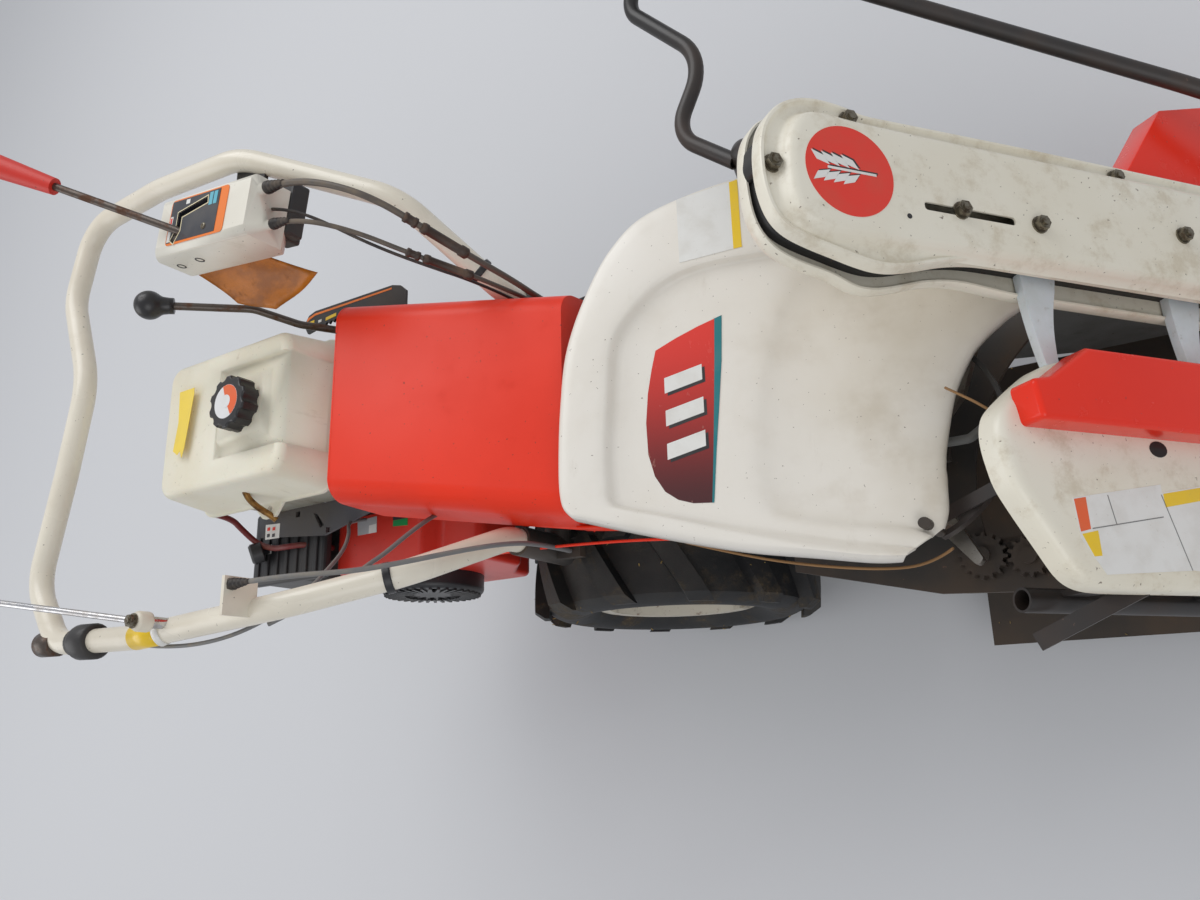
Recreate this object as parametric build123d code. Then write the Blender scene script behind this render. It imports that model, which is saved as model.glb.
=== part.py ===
from build123d import *
from math import atan, cos, radians, sin, tan
import os

# Walk-behind one-row reaper binder, in millimetres.
# While it is laid out, X runs forward from the wheel axle, Y to the machine's left
# and Z up from the ground. At the end it is moved so that its outline stands over the origin.

# Wheels and axle
tyre_radius = 206
tyre_width = 178
tyre_wall = 11
tread_depth = 20
lugs_a_side = 12
lug_bar_width = 27
lug_sweep_angle = 32
tyre_shoulder_inset = 12
lug_shoulder_drop = 14
lug_root_depth = 4
rim_radius = 101.6
rim_flange_radius = 113
rim_flange_width = 4
rim_inner_width = 140
rim_sheet = 3
wheel_track = 264
wheel_middle_y = -71
wheel_side_gap = 8
axle_radius = 12.5
hub_clearance = 0.05
hub_radius = 22
hub_length = 70
hub_end_play = 0.3
axle_collar_radius = 19
axle_collar_length = 14

# Gearbox between the wheels
gearbox_rear_x = -70
gearbox_front_x = 110
gearbox_half_width = (wheel_track - tyre_width) / 2 - wheel_side_gap
gearbox_bottom_z = 130
gearbox_top_z = 2 * tyre_radius - 2
axle_boss_radius = 36
gear_left_y = wheel_middle_y + gearbox_half_width
gear_right_y = wheel_middle_y - gearbox_half_width

# Cross tube above the gearbox that carries the handlebar, clear of the tyres
cross_tube_radius = 17
cross_tube_z = 2 * tyre_radius + cross_tube_radius + 6

# Engine and its frame behind the axle
engine_x = -336
engine_z = 360
engine_base_z = 250
rail_width = 28
rail_height = 35
rail_sheet = 4
rail_spacing = gearbox_half_width + 3
rail_rear_x = -480
base_plate_thickness = 6
engine_length = 190
engine_left_y = 62
engine_right_y = -132
engine_top_z = 452
shroud_rear_x = -438
shroud_front_x = 32 - tyre_radius
shroud_depth = 82
shroud_sheet = 3
recoil_radius = 77
recoil_depth = 28
recoil_slots = 16
belt_cover_depth = 19
belt_cover_wall = 3
belt_pulley_radius = 58
belt_front_radius = 36
belt_front_x = -150
belt_front_z = cross_tube_z + 9
muffler_radius = 42
muffler_length = 150
air_cleaner_rear_x = -590
air_cleaner_right_y = -216
air_cleaner_size = 108
carburettor_x = -461
carburettor_top_z = 450

# Fuel tank and its bracket
tank_rear_x = -558
tank_front_x = -284
tank_left_y = 78
tank_right_y = -131
tank_bottom_z = 520
tank_seam_z = 610
tank_top_z = 690
tank_corner = 24
tank_taper = 8
tank_under_inset = 14
tank_flange = 5
tank_channel_depth = 9
channel_rear_x = -430
channel_left_y = 41
channel_right_y = -86
pad_length = 104
pad_width = 94
ear_x = -408
filler_x = -365
filler_y = -26
filler_radius = 28
filler_height = 9
cap_radius = 36
cap_height = 24
cap_scallops = 10
bracket_sheet = 4
gate_strut_x = -325
gate_right_y = 84
gate_z = 570

# Hood over the belt and gearbox
hood_rear_x = -238
hood_front_x = 62
hood_rear_z = 658
hood_front_z = 572
hood_rear_bottom_z = 560
hood_front_bottom_z = 508
hood_flare = 14
hood_left_flare = 8
hood_strip_front_x = 190
hood_rear_left_y = 104
hood_rear_right_y = -164
hood_front_left_y = 66
hood_front_right_y = -206
hood_corner = 30
hood_sheet = 3

# Knotter cover, a dished moulding that slopes down to the front
cover_rear_z = 605
cover_rear_x = 105
cover_fall = 0.35
cover_sheet = 3
cover_skirt = 44
cover_trough = 12
cover_wall_slope = 40
cover_corner = 120
cover_tip_y = -29
throat_x = 689
throat_y = -213
throat_radius = 225

# Crop slope shared by the raising case and the right-hand guard
crop_slope = 53
crop_datum_x = 710
crop_datum_z = 360

# Raising case, given along the slope (u), across it (v) and out of it (n)
case_width = 130
case_v = 22
case_head_u = -442
case_foot_u = 270
case_sheet = 3
case_front_depth = 30
case_rim_step = 3
case_rim_inset = 14
case_rim_height = 14
case_gap = 20
case_rear_depth = 48
case_rear_grow = 8
case_slot_u = -284
case_slot_v = 1
case_slot_length = 102
case_slot_width = 13
nose_sheet = 3
case_bulge_u = -380
case_bulge_v = -26
case_bulge_radius = 46
lug_pitch = 190
lug_first_u = -180
lug_length = 104
lug_root_width = 46
lug_thickness = 10
chain_width = 8
sprocket_radius = 34
sprocket_head_u = -430
sprocket_foot_u = 222
chain_clearance = 0.3

# Right-hand guard and cover
guard_left_v = -118
guard_right_v = -192
guard_tail_u = -242
guard_foot_u = 230
guard_height = 30
plate_right_v = -335
plate_left_v = -117
plate_tail_u = -236
plate_sheet = 2.5
plate_skirt = 27

frame_drop = 130
frame_radius = 12.5

# Star wheel under the right-hand cover
star_u = 60
star_v = -190
star_radius = 118
star_arms = 6
star_thickness = 12
star_depth = 60
star_pin_radius = 8
star_clearance = 0.05

# Discharge arms on the knotter shaft
shaft_x = 400
shaft_y = -150
shaft_radius = 12
arm_reach = 150
arm_z = 358
arm_thickness = 14
arm_count = 3
arm_rest_angle = 50
shaft_clearance = 0.05

# Deck, bridge over the discharge arms and platform
bridge_top_z = 400
guide_height = 16
deck_z = 300
deck_rear_x = tyre_radius + 10
deck_sheet = 6
platform_z = 70
platform_sheet = 3
beam_rear_x = 740
beam_depth = 40
beam_bottom_z = 40
beam_left_y = 92
beam_right_y = -350
knife_left_y = -50
knife_pitch = 45
knife_sections = 6
knife_sheet = 4
eye_radius = 8
eye_outer = 15
eye_reach = 22
eye_thickness = 8
eye_z = 55

# Handlebar tube
bar_radius = 15
bar_wall = 2.2
socket_wall = 3.5
socket_clearance = 0.2
socket_x = -46
socket_left_y = 103
socket_right_y = -219
socket_floor_z = cross_tube_z + 9
socket_top_z = socket_floor_z + 75

# Cables: where they end beside the hood, and their radii
anchor_x = -4
anchor_left_y = 92
anchor_right_y = -228
anchor_z = socket_floor_z + 14
box_cable_radius = 4
side_cable_radius = 3
hose_radius = 4.5

# Control box beside the left of the handlebar, with a ferrule for each of its cables
box_length = 200
box_place = Pos(-314, 180, 784) * Rot(Z=-8)
box_forward = Vector(1, 0, 0).rotate(Axis.Z, -8)
# y and z in the box's own frame, radius
box_ferrules = [(22, 22, 7), (-18, 6, 6)]
box_ferrule_length = 12

# Clutch lever
lever_base = Vector(-320, 156, 798.6)
lever_way = Vector(-152, 75, 100).normalized()
lever_radius = 5
lever_reach = 222
grip_length = 120

# Tab on the right of the handlebar, and the lever behind it
side_tab_hole = Vector(-232, -284, 788)
side_tab_sheet = 5
side_lever_base = Vector(-372, -314, 799)
side_lever_tip = Vector(-584, -279, 862)

# Black guard rail on the left
rail_tube_radius = 9.5
rail_tube_wall = 2
post_radius = 12.7


def block(x0, x1, y0, y1, z0, z1):
    """A box between two corners."""
    return Pos((x0 + x1) / 2, (y0 + y1) / 2, (z0 + z1) / 2) * Box(x1 - x0, y1 - y0, z1 - z0)


def side_plane(y):
    """A plane square to Y, with X forward and Z up in it."""
    return Plane((0, y, 0), x_dir=(1, 0, 0), z_dir=(0, -1, 0))


def side_plate(points, y0, y1, corner=0):
    """A polygon of (x, z) points with rounded corners, extruded from y0 to y1."""
    outline = Polygon(*points, align=None)
    if corner:
        outline = fillet(outline.vertices(), corner)
    return extrude(side_plane(y1) * outline, y1 - y0, dir=(0, -1, 0))


def top_plate(outline, z0, z1):
    """A plan outline extruded from z0 to z1."""
    return extrude(Pos(0, 0, z0) * outline, z1 - z0, dir=(0, 0, 1))


def upright(x, y, z0, z1, radius):
    """A vertical round bar."""
    return Pos(x, y, (z0 + z1) / 2) * Cylinder(radius, z1 - z0)


def along_y(x, z, y0, y1, radius):
    """A round bar along Y."""
    return Pos(x, (y0 + y1) / 2, z) * Rot(X=90) * Cylinder(radius, y1 - y0)


def tube(points, bends, radius, wall=0):
    """A round tube or bar along straight runs joined by arcs."""
    path = FilletPolyline(*points, radius=bends) if len(points) > 2 else Line(*points)
    section = Circle(radius) - Circle(radius - wall) if wall else Circle(radius)
    return sweep(Plane(path @ 0, z_dir=path % 0) * section, path)


def cord(name, points, radius):
    """A cord's tube: straight runs joined by arcs as large as the runs allow."""
    corners = [Vector(*point) for point in points]
    bends = []
    for before, corner, after in zip(corners, corners[1:], corners[2:]):
        run_in, run_out = corner - before, after - corner
        turn = radians(run_in.get_angle(run_out))
        bends.append(0.45 * min(run_in.length, run_out.length) / tan(turn / 2))
    path = FilletPolyline(*corners, radius=bends)
    print(name, "length", round(path.length), "arc radii", [round(bend) for bend in bends])
    return sweep(Plane(path @ 0, z_dir=path % 0) * Circle(radius), path)


slope_sin = sin(radians(crop_slope))
slope_cos = cos(radians(crop_slope))
slope_plane = Plane(
    (crop_datum_x, 0, crop_datum_z),
    x_dir=(slope_cos, 0, -slope_sin),
    z_dir=(slope_sin, 0, slope_cos),
)
cover_plane = Plane(
    (cover_rear_x, 0, cover_rear_z), x_dir=(1, 0, -cover_fall), z_dir=(cover_fall, 0, 1)
)
cover_stretch = 1 / cos(atan(cover_fall))


def on_slope(shape):
    """Places a shape given in slope coordinates."""
    return slope_plane * shape


def slope_plate(outline, n0, n1):
    """An outline in slope coordinates, extruded from n0 to n1."""
    return on_slope(top_plate(outline, n0, n1))


def slope_block(u0, u1, v0, v1, n0, n1):
    """A box in slope coordinates."""
    return on_slope(block(u0, u1, v0, v1, n0, n1))


def slope_bar(u, v, n0, n1, radius):
    """A round bar square to the slope."""
    return on_slope(upright(u, v, n0, n1, radius))


def rim():
    """Rim with flanges, barrel, dished disc and hub, outer side towards +Y."""
    half = rim_inner_width / 2
    barrel_inner = rim_radius - rim_sheet
    disc_y = 12
    sections = [
        (-half - rim_flange_width, half + rim_flange_width, barrel_inner, rim_radius),
        (-half - rim_flange_width, -half, barrel_inner, rim_flange_radius),
        (half, half + rim_flange_width, barrel_inner, rim_flange_radius),
        (disc_y, disc_y + 5, hub_radius - 2, barrel_inner + 1),
        (-hub_length / 2, hub_length / 2, axle_radius + hub_clearance, hub_radius),
    ]
    profile = Sketch()
    for y0, y1, r0, r1 in sections:
        profile += Pos((y0 + y1) / 2, (r0 + r1) / 2) * Rectangle(y1 - y0, r1 - r0)
    body = revolve(Plane.YZ * profile, Axis.Y)
    hole_ring = (rim_radius + hub_radius) / 2
    for index in range(4):
        angle = radians(45 + 90 * index)
        body -= along_y(hole_ring * cos(angle), hole_ring * sin(angle), disc_y - 1, disc_y + 6, 13)
    return body


def tyre_carcass():
    """Tyre without its lugs: bead, bulged side wall and crown."""
    half = rim_inner_width / 2
    side = tyre_width / 2
    crown_radius = tyre_radius - tread_depth
    shoulder = side - tyre_shoulder_inset
    inner_shoulder = shoulder - tyre_wall
    inner_crown_radius = crown_radius - tyre_wall
    bulge_radius = (rim_flange_radius + crown_radius) / 2
    right = Curve() + [
        Line((half - 14, rim_radius), (half, rim_radius)),
        Line((half, rim_radius), (half, rim_flange_radius + 1)),
        ThreePointArc((half, rim_flange_radius + 1), (side, bulge_radius), (shoulder, crown_radius)),
        Line((half - 14, rim_radius), (half - 10, rim_flange_radius + 4)),
        ThreePointArc(
            (half - 10, rim_flange_radius + 4),
            (side - tyre_wall, bulge_radius),
            (inner_shoulder, inner_crown_radius),
        ),
    ]
    left = mirror(right, Plane.YZ)
    crown = Line((shoulder, crown_radius), (-shoulder, crown_radius))
    inner_crown = Line((inner_shoulder, inner_crown_radius), (-inner_shoulder, inner_crown_radius))
    profile = make_face([*right.edges(), *left.edges(), crown, inner_crown])
    return revolve(Plane.YZ * profile, Axis.Y)


def tyre():
    """Tyre with two rows of slanted lugs that meet as arrows pointing forward at the top."""
    side = tyre_width / 2
    root_radius = tyre_radius - tread_depth - lug_root_depth
    shoulder_radius = tyre_radius - lug_shoulder_drop
    outline = Polygon(
        (-side, root_radius), (side, root_radius), (side, shoulder_radius), (side - 10, tyre_radius),
        (10 - side, tyre_radius), (-side, shoulder_radius), align=None,
    )
    ring = revolve(Plane.YZ * outline, Axis.Y)
    body = tyre_carcass()
    for row in (-1, 1):
        bar = Rot(Z=row * lug_sweep_angle) * Box(lug_bar_width, 3 * side, 2 * tread_depth)
        bar = Pos(0, row * side / 2, tyre_radius - lug_root_depth) * bar
        bar &= Pos(0, row * (side / 2 - 2), tyre_radius) * Box(4 * side, side + 4, 4 * tread_depth)
        lug = bar & ring
        start = 0 if row > 0 else 0.5
        body += [Rot(Y=360 * (start + index) / lugs_a_side) * lug for index in range(lugs_a_side)]
    return body


def axle():
    """Axle shaft with a collar inside and outside each hub."""
    track_half = wheel_track / 2
    hub_inner = track_half - hub_length / 2 - hub_end_play
    hub_outer = track_half + hub_length / 2 + hub_end_play
    end = hub_outer + axle_collar_length
    shaft = along_y(0, tyre_radius, -end, end, axle_radius)
    for side in (-1, 1):
        for start in (hub_inner - axle_collar_length, hub_outer):
            ends = sorted((side * start, side * (start + axle_collar_length)))
            shaft += along_y(0, tyre_radius, *ends, axle_collar_radius)
    return Pos(0, wheel_middle_y, 0) * shaft


def gearbox():
    """Cast gear case with round bosses for the axle."""
    case = side_plate(
        [
            (gearbox_rear_x, 190),
            (gearbox_rear_x, gearbox_top_z),
            (gearbox_front_x, gearbox_top_z),
            (gearbox_front_x, 170),
            (60, gearbox_bottom_z),
            (-40, gearbox_bottom_z),
        ],
        gear_right_y,
        gear_left_y,
        22,
    )
    boss_end = wheel_track / 2 - hub_length / 2 - hub_end_play - axle_collar_length
    boss = along_y(0, tyre_radius, -boss_end, boss_end, axle_boss_radius)
    bore = along_y(0, tyre_radius, -boss_end - 1, boss_end + 1, axle_radius)
    return case + Pos(0, wheel_middle_y, 0) * boss - Pos(0, wheel_middle_y, 0) * bore


def engine_frame():
    """Two channel rails behind the gearbox with the engine's base plate on top."""
    frame = block(
        rail_rear_x, engine_x + engine_length / 2 + 15, engine_right_y, engine_left_y,
        engine_base_z, engine_base_z + base_plate_thickness,
    )
    for side in (-1, 1):
        centre = wheel_middle_y + side * rail_spacing / 2
        rail = block(
            rail_rear_x, gearbox_rear_x, centre - rail_width / 2, centre + rail_width / 2,
            engine_base_z - rail_height, engine_base_z,
        )
        inside = rail_width / 2 - rail_sheet
        channel = block(
            rail_rear_x - 1, gearbox_rear_x + 1, centre - inside, centre + inside,
            engine_base_z - rail_height - 1, engine_base_z - rail_sheet,
        )
        frame += rail - channel
    return frame


def engine_block():
    """Crankcase and cylinder as one plain block."""
    bottom = engine_base_z + base_plate_thickness
    block_x0 = engine_x - engine_length / 2
    return block(
        block_x0, block_x0 + engine_length, engine_right_y, engine_left_y, bottom, engine_top_z
    )


def fan_shroud():
    """Red blower housing on the engine's right side."""
    bottom = engine_base_z + base_plate_thickness + 4
    top = engine_top_z + 14
    front_top = top - 26
    step_x = hood_rear_x - 8
    points = [
        (shroud_rear_x, bottom), (shroud_rear_x, top), (step_x - 18, top), (step_x, front_top),
        (shroud_front_x, front_top), (shroud_front_x, 350), (shroud_front_x - 48, 300),
        (shroud_front_x - 48, bottom),
    ]
    face_y = engine_right_y - shroud_depth
    outline = Polygon(*points, align=None)
    outline = fillet(outline.vertices(), 14)
    shell = extrude(side_plane(engine_right_y) * outline, shroud_depth, dir=(0, -1, 0))
    shell = fillet(shell.faces().sort_by(Axis.Y)[0].outer_wire().edges(), 8)
    inner = side_plane(engine_right_y) * offset(outline, -shroud_sheet)
    shell -= extrude(inner, shroud_depth - shroud_sheet, dir=(0, -1, 0))
    return shell - along_y(engine_x, engine_z, face_y - 1, engine_right_y, recoil_radius - 12)


def recoil_starter():
    """Round starter cover with radial slots and a rope mouth."""
    face_y = engine_right_y - shroud_depth
    cover = along_y(engine_x, engine_z, face_y - recoil_depth, face_y, recoil_radius)
    cover = fillet(cover.faces().sort_by(Axis.Y)[0].edges(), 8)
    cover -= along_y(engine_x, engine_z, face_y - recoil_depth + 3, face_y + 1, recoil_radius - 3)
    for index in range(recoil_slots):
        slot = Pos(recoil_radius * 0.6, 0) * SlotOverall(recoil_radius * 0.5, 7)
        plane = Plane((engine_x, face_y - recoil_depth + 5, engine_z), x_dir=(1, 0, 0), z_dir=(0, -1, 0))
        cover -= extrude(plane * Rot(Z=360 * index / recoil_slots) * slot, 10)
    return cover


def starter_grip():
    """Starter handle against the recoil cover's rim."""
    y = engine_right_y - shroud_depth - recoil_depth / 2
    stem = Pos(0, 0, recoil_radius + 12.3) * Cylinder(6, 24)
    handle = Pos(0, 0, recoil_radius + 28) * Rot(Y=90) * Cylinder(7, 44)
    return Pos(engine_x, y, engine_z) * Rot(Y=-45) * (stem + handle)


def belt_cover():
    """Belt guard along the left side, from the engine's pulley to the gearbox input."""
    y0 = engine_left_y
    y1 = y0 + belt_cover_depth
    outline = make_hull(
        (Pos(engine_x, engine_z) * Circle(belt_pulley_radius)).edges()
        + (Pos(belt_front_x, belt_front_z) * Circle(belt_front_radius)).edges()
    )
    outer = extrude(side_plane(y1) * outline, y1 - y0, dir=(0, -1, 0))
    inner = side_plane(y1 - belt_cover_wall) * offset(outline, -belt_cover_wall)
    return outer - extrude(inner, y1 - y0, dir=(0, -1, 0))


def muffler():
    """Exhaust drum on the engine's left side, above the belt guard."""
    y0 = engine_left_y
    z = engine_top_z - 4
    drum_y = y0 + belt_cover_depth + muffler_radius + 6
    drum = Pos(engine_x - 70, drum_y, z) * Rot(Y=90) * Cylinder(muffler_radius, muffler_length)
    drum = fillet(drum.edges(), 8)
    stub = along_y(engine_x - 40, z - 16, y0, drum_y, 13)
    return drum + stub


def air_cleaner():
    """Air cleaner box behind the shroud, with the carburettor and its neck to the engine."""
    front_x = air_cleaner_rear_x + air_cleaner_size
    left_y = air_cleaner_right_y + air_cleaner_size
    box = block(air_cleaner_rear_x, front_x, air_cleaner_right_y, left_y, 356, 492)
    box = fillet(box.edges(), 14)
    box += block(front_x - 2, carburettor_x + 15, -186, -114, 402, carburettor_top_z)
    return box + tube([(front_x - 1, -120, 420), (engine_x - engine_length / 2, -120, 420)], [], 11)


def tank_bracket():
    """Sheet bracket that carries the tank on the engine, wider on its right."""
    z0 = tank_bottom_z - bracket_sheet
    rear_x = tank_rear_x + 10
    left_y = tank_left_y - 20
    outline = Polygon(
        (rear_x, left_y), (rear_x, tank_right_y - 20), (-400, tank_right_y - 35),
        (-310, tank_right_y - 14), (-296, left_y), align=None,
    )
    sheet = top_plate(outline, z0, tank_bottom_z)
    sheet += block(gate_strut_x, gate_strut_x + 25, left_y - 2, gate_right_y + 4, z0, tank_bottom_z)
    for x in (engine_x - 70, engine_x + 20):
        sheet += block(x - 12, x + 12, -80, 40, engine_top_z, z0)
    return sheet


def fuel_tank():
    """Moulded tank: upper half with a channel round a raised filler pad, seam flange, lower half."""
    middle_x = (tank_rear_x + tank_front_x) / 2
    middle_y = (tank_left_y + tank_right_y) / 2
    length = tank_front_x - tank_rear_x
    width = tank_left_y - tank_right_y
    upper = loft([
        Pos(middle_x, middle_y, z) * RectangleRounded(length - 2 * inset, width - 2 * inset, tank_corner)
        for z, inset in [(tank_seam_z, 0), (tank_top_z, tank_taper)]
    ], ruled=True)
    upper = fillet(upper.faces().sort_by(Axis.Z)[-1].edges(), 12)
    floor = tank_top_z - tank_channel_depth
    channel = (channel_right_y, channel_left_y)
    upper -= block(channel_rear_x, tank_front_x + 1, *channel, floor, tank_top_z + 1)
    upper -= block(tank_front_x - tank_taper - 2, tank_front_x + 1, *channel, tank_seam_z + 6, tank_top_z)
    upper += loft([
        Pos(filler_x - 16, filler_y + 5, z) * Rectangle(pad_length - 2 * inset, pad_width - 2 * inset)
        for z, inset in [(floor - 1, 0), (tank_top_z, 7)]
    ], ruled=True)
    upper += upright(filler_x, filler_y, tank_top_z - 1, tank_top_z + filler_height, filler_radius)
    flange = Pos(middle_x, middle_y) * RectangleRounded(
        length + 2 * tank_flange, width + 2 * tank_flange, tank_corner + tank_flange
    )
    ear = Pos(ear_x, tank_right_y) * Polygon((-38, 0), (-14, -24), (12, -24), (30, 0), align=None)
    flange += fillet(ear.vertices().sort_by(Axis.Y)[:2], 9)
    flange -= Pos(ear_x, tank_right_y - 11) * Circle(4.5)
    under = Pos(middle_x, middle_y) * RectangleRounded(
        length - 2 * tank_under_inset, width - 2 * tank_under_inset, tank_corner
    )
    upper += top_plate(flange, tank_seam_z - 4, tank_seam_z)
    return upper + top_plate(under, tank_bottom_z, tank_seam_z)


def fuel_cap():
    """Filler cap with finger scallops round its rim."""
    z0 = tank_top_z + filler_height
    cap = upright(filler_x, filler_y, z0, z0 + cap_height, cap_radius)
    scallop = Pos(cap_radius + 5, 0, z0 + cap_height / 2) * Cylinder(9, cap_height + 2)
    for index in range(cap_scallops):
        cap -= Pos(filler_x, filler_y) * Rot(Z=360 * index / cap_scallops) * scallop
    return fillet(cap.faces().sort_by(Axis.Z)[-1].outer_wire().edges(), 3)


def hood_solid(inset, drop=0):
    """The hood's form, narrowed by an inset, with its space below it down to a drop."""
    # x, left y, right y, top z, bottom z, left flare, right flare
    sections = [
        (hood_rear_x + inset, hood_rear_left_y, hood_rear_right_y, hood_rear_z, hood_rear_bottom_z, 2, 4),
        (
            hood_front_x - inset, hood_front_left_y, hood_front_right_y, hood_front_z,
            hood_front_bottom_z, hood_left_flare, hood_flare,
        ),
    ]
    faces = []
    for x, left, right, top, low, left_flare, right_flare in sections:
        left, right, top = left - inset, right + inset, top - inset
        points = [(right, top), (left, top), (left + left_flare, low)]
        if drop:
            points += [(left + left_flare, low - drop), (right - right_flare, low - drop)]
        points += [(right - right_flare, low)]
        outline = Polygon(*points, align=None)
        outline = fillet(outline.vertices().group_by(Axis.Y)[-1], hood_corner - inset)
        faces.append(Plane((x, 0, 0), x_dir=(0, 1, 0), z_dir=(1, 0, 0)) * outline)
    return loft(faces, ruled=True)


def hood_strip():
    """Lower edge strip that carries on forward from the hood's right flare."""
    faces = []
    # x, outer y, bottom z
    for x, outer, low in [
        (hood_front_x - 10, hood_front_right_y - hood_flare + 1, hood_front_bottom_z + 2),
        (hood_strip_front_x, hood_front_right_y - hood_flare - 12, hood_front_bottom_z - 28),
    ]:
        plane = Plane((x, outer + hood_sheet / 2, low + 11), x_dir=(0, 1, 0), z_dir=(1, 0, 0))
        faces.append(plane * Rectangle(hood_sheet, 22))
    return loft(faces, ruled=True)


def hood():
    """Red hood, a shallow shell with rounded top edges, flared to the front."""
    shell = hood_solid(0) - hood_solid(hood_sheet, 10)
    return shell.solids().sort_by(SortBy.VOLUME)[-1] + hood_strip()


def hood_stay():
    """Upright strap on the gearbox that carries the hood's roof."""
    x0, x1 = 0, 30
    strap_z = 2 * tyre_radius + 22
    strap = block(x0, x1, gear_right_y - 10, gear_left_y + 76, strap_z, hood_rear_z)
    strap -= block(x0 - 1, x1 + 1, gear_right_y - 4, gear_left_y + 70, strap_z + 6, hood_front_z - 40)
    foot = block(x0, x1, gear_right_y + 4, gear_left_y - 4, gearbox_top_z, strap_z)
    return foot + (strap & hood_solid(hood_sheet + 0.3, hood_front_z - strap_z))


def cover_local(points):
    """Plan points of the knotter cover turned into points along its own slope."""
    return [((x - cover_rear_x) * cover_stretch, y) for x, y in points]


def cover_outline(inset=0):
    """Plan of the knotter cover, along its own slope, with the concave throat edge."""
    start_x = throat_x - (throat_radius**2 - (throat_y - cover_tip_y) ** 2) ** 0.5
    end_x = throat_x - (throat_radius**2 - (throat_y + 262) ** 2) ** 0.5
    sweep_points = [(85, -12), (108, 64), (168, 126), (238, 150)]
    points = cover_local([
        (85, -211), *sweep_points, (370, 150), (440, 100), (start_x - 20, 20), (start_x, cover_tip_y)
    ])
    throat = cover_local([(start_x, cover_tip_y), (throat_x - throat_radius, throat_y), (end_x, -262)])
    corner = cover_local([(end_x, -262), (end_x - 37, -296), (85, -211)])
    outline = make_face([*Polyline(*points).edges(), ThreePointArc(*throat), *Polyline(*corner).edges()])
    swept = cover_local(sweep_points)
    big = [v for v in outline.vertices() if any((Vector(*p) - Vector(v.X, v.Y)).length < 1 for p in swept)]
    outline = fillet(big, cover_corner)
    small = [v for v in outline.vertices() if v.Y < -200 or v.X > cover_local([(360, 0)])[0][0]]
    outline = fillet(small, 10)
    return offset(outline, -inset) if inset else outline


def cover_slab(inset, depth0, depth1):
    """A slab under the cover's outline between two depths below its rim."""
    return cover_plane * top_plate(cover_outline(inset), -depth1, -depth0)


def cover_trough_form(grow, depth):
    """The dished middle of the cover, open to the throat, with sloped walls."""
    points = [
        (136, -219), (134, -110), (143, -31), (163, 5), (200, 40), (250, 55), (throat_x, 55),
        (throat_x, -340), (436, -300), (342, -274), (258, -250),
    ]
    outline = Polygon(*cover_local(points), align=None)
    corners = outline.vertices().sort_by(Axis.X)
    outline = fillet(corners[:6], 22)
    if grow:
        outline = offset(outline, grow)
    return cover_plane * extrude(outline, depth, dir=(0, 0, -1), taper=cover_wall_slope)


def knotter_cover():
    """White dished cover: raised rim, recessed middle that runs out to the throat, and a skirt."""
    top = cover_trough + cover_sheet
    cover = cover_slab(0, 0, cover_skirt) - cover_trough_form(0, cover_trough)
    cover -= cover_slab(cover_sheet, top, cover_skirt + 1)
    cover -= cover_slab(cover_sheet, cover_sheet, top) - cover_trough_form(cover_sheet, top)
    floor = -case_front_depth - case_gap - case_rear_depth
    return cover - slope_plate(case_outline(-case_rear_grow - 2, True), floor - 2, 200)


def drive_case():
    """Cast case that takes the drive out between the wheels and forward on the left."""
    cross_x = tyre_radius + 10
    arm = block(gearbox_front_x, cross_x + 60, gear_right_y + 4, gear_left_y - 4, 170, 262)
    arm += block(cross_x, cross_x + 60, gear_right_y + 4, 85, 180, 262)
    return arm + side_plate(
        [
            (cross_x, 172),
            (cross_x, deck_z),
            (520, deck_z),
            (640, 190),
            (beam_rear_x, 112),
            (beam_rear_x, beam_bottom_z),
            (640, beam_bottom_z + 8),
            (420, 128),
        ],
        25,
        85,
        8,
    )


def cutter_beam():
    """Cross beam behind the knife, with a lashing eye at each end."""
    beam = block(
        beam_rear_x, beam_rear_x + beam_depth, beam_right_y, beam_left_y, beam_bottom_z, platform_z
    )
    beam = fillet(beam.edges().filter_by(Axis.Y), 4)
    eye_x = beam_rear_x + beam_depth / 2
    for end, side in ((beam_left_y, 1), (beam_right_y, -1)):
        tab = Pos(eye_x, end + side * eye_reach / 2, eye_z) * Box(eye_thickness, eye_reach, 2 * eye_outer)
        eye = Pos(eye_x, end + side * eye_reach, eye_z) * Rot(Y=90)
        tab += eye * Cylinder(eye_outer, eye_thickness)
        beam += tab - eye * Cylinder(eye_radius, eye_thickness + 2)
    return beam


def knife():
    """Knife bar with a row of triangular sections."""
    x0 = beam_rear_x + beam_depth
    z0 = platform_z
    right_y = knife_left_y - knife_pitch * knife_sections
    bar = block(x0 - 12, x0 + 22, right_y, knife_left_y, z0, z0 + knife_sheet)
    half = knife_pitch / 2
    section = Polygon((20, -half), (20, half), (66, 5), (66, -5), align=None)
    for index in range(knife_sections):
        y = knife_left_y - knife_pitch * (index + 0.5)
        bar += top_plate(Pos(x0, y) * section, z0, z0 + knife_sheet)
    return bar


def platform():
    """Low floor plate that the cut stems slide over."""
    front_x = beam_rear_x + beam_depth - 12.3
    return block(400, front_x, beam_right_y, 25, platform_z, platform_z + platform_sheet)


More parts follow.
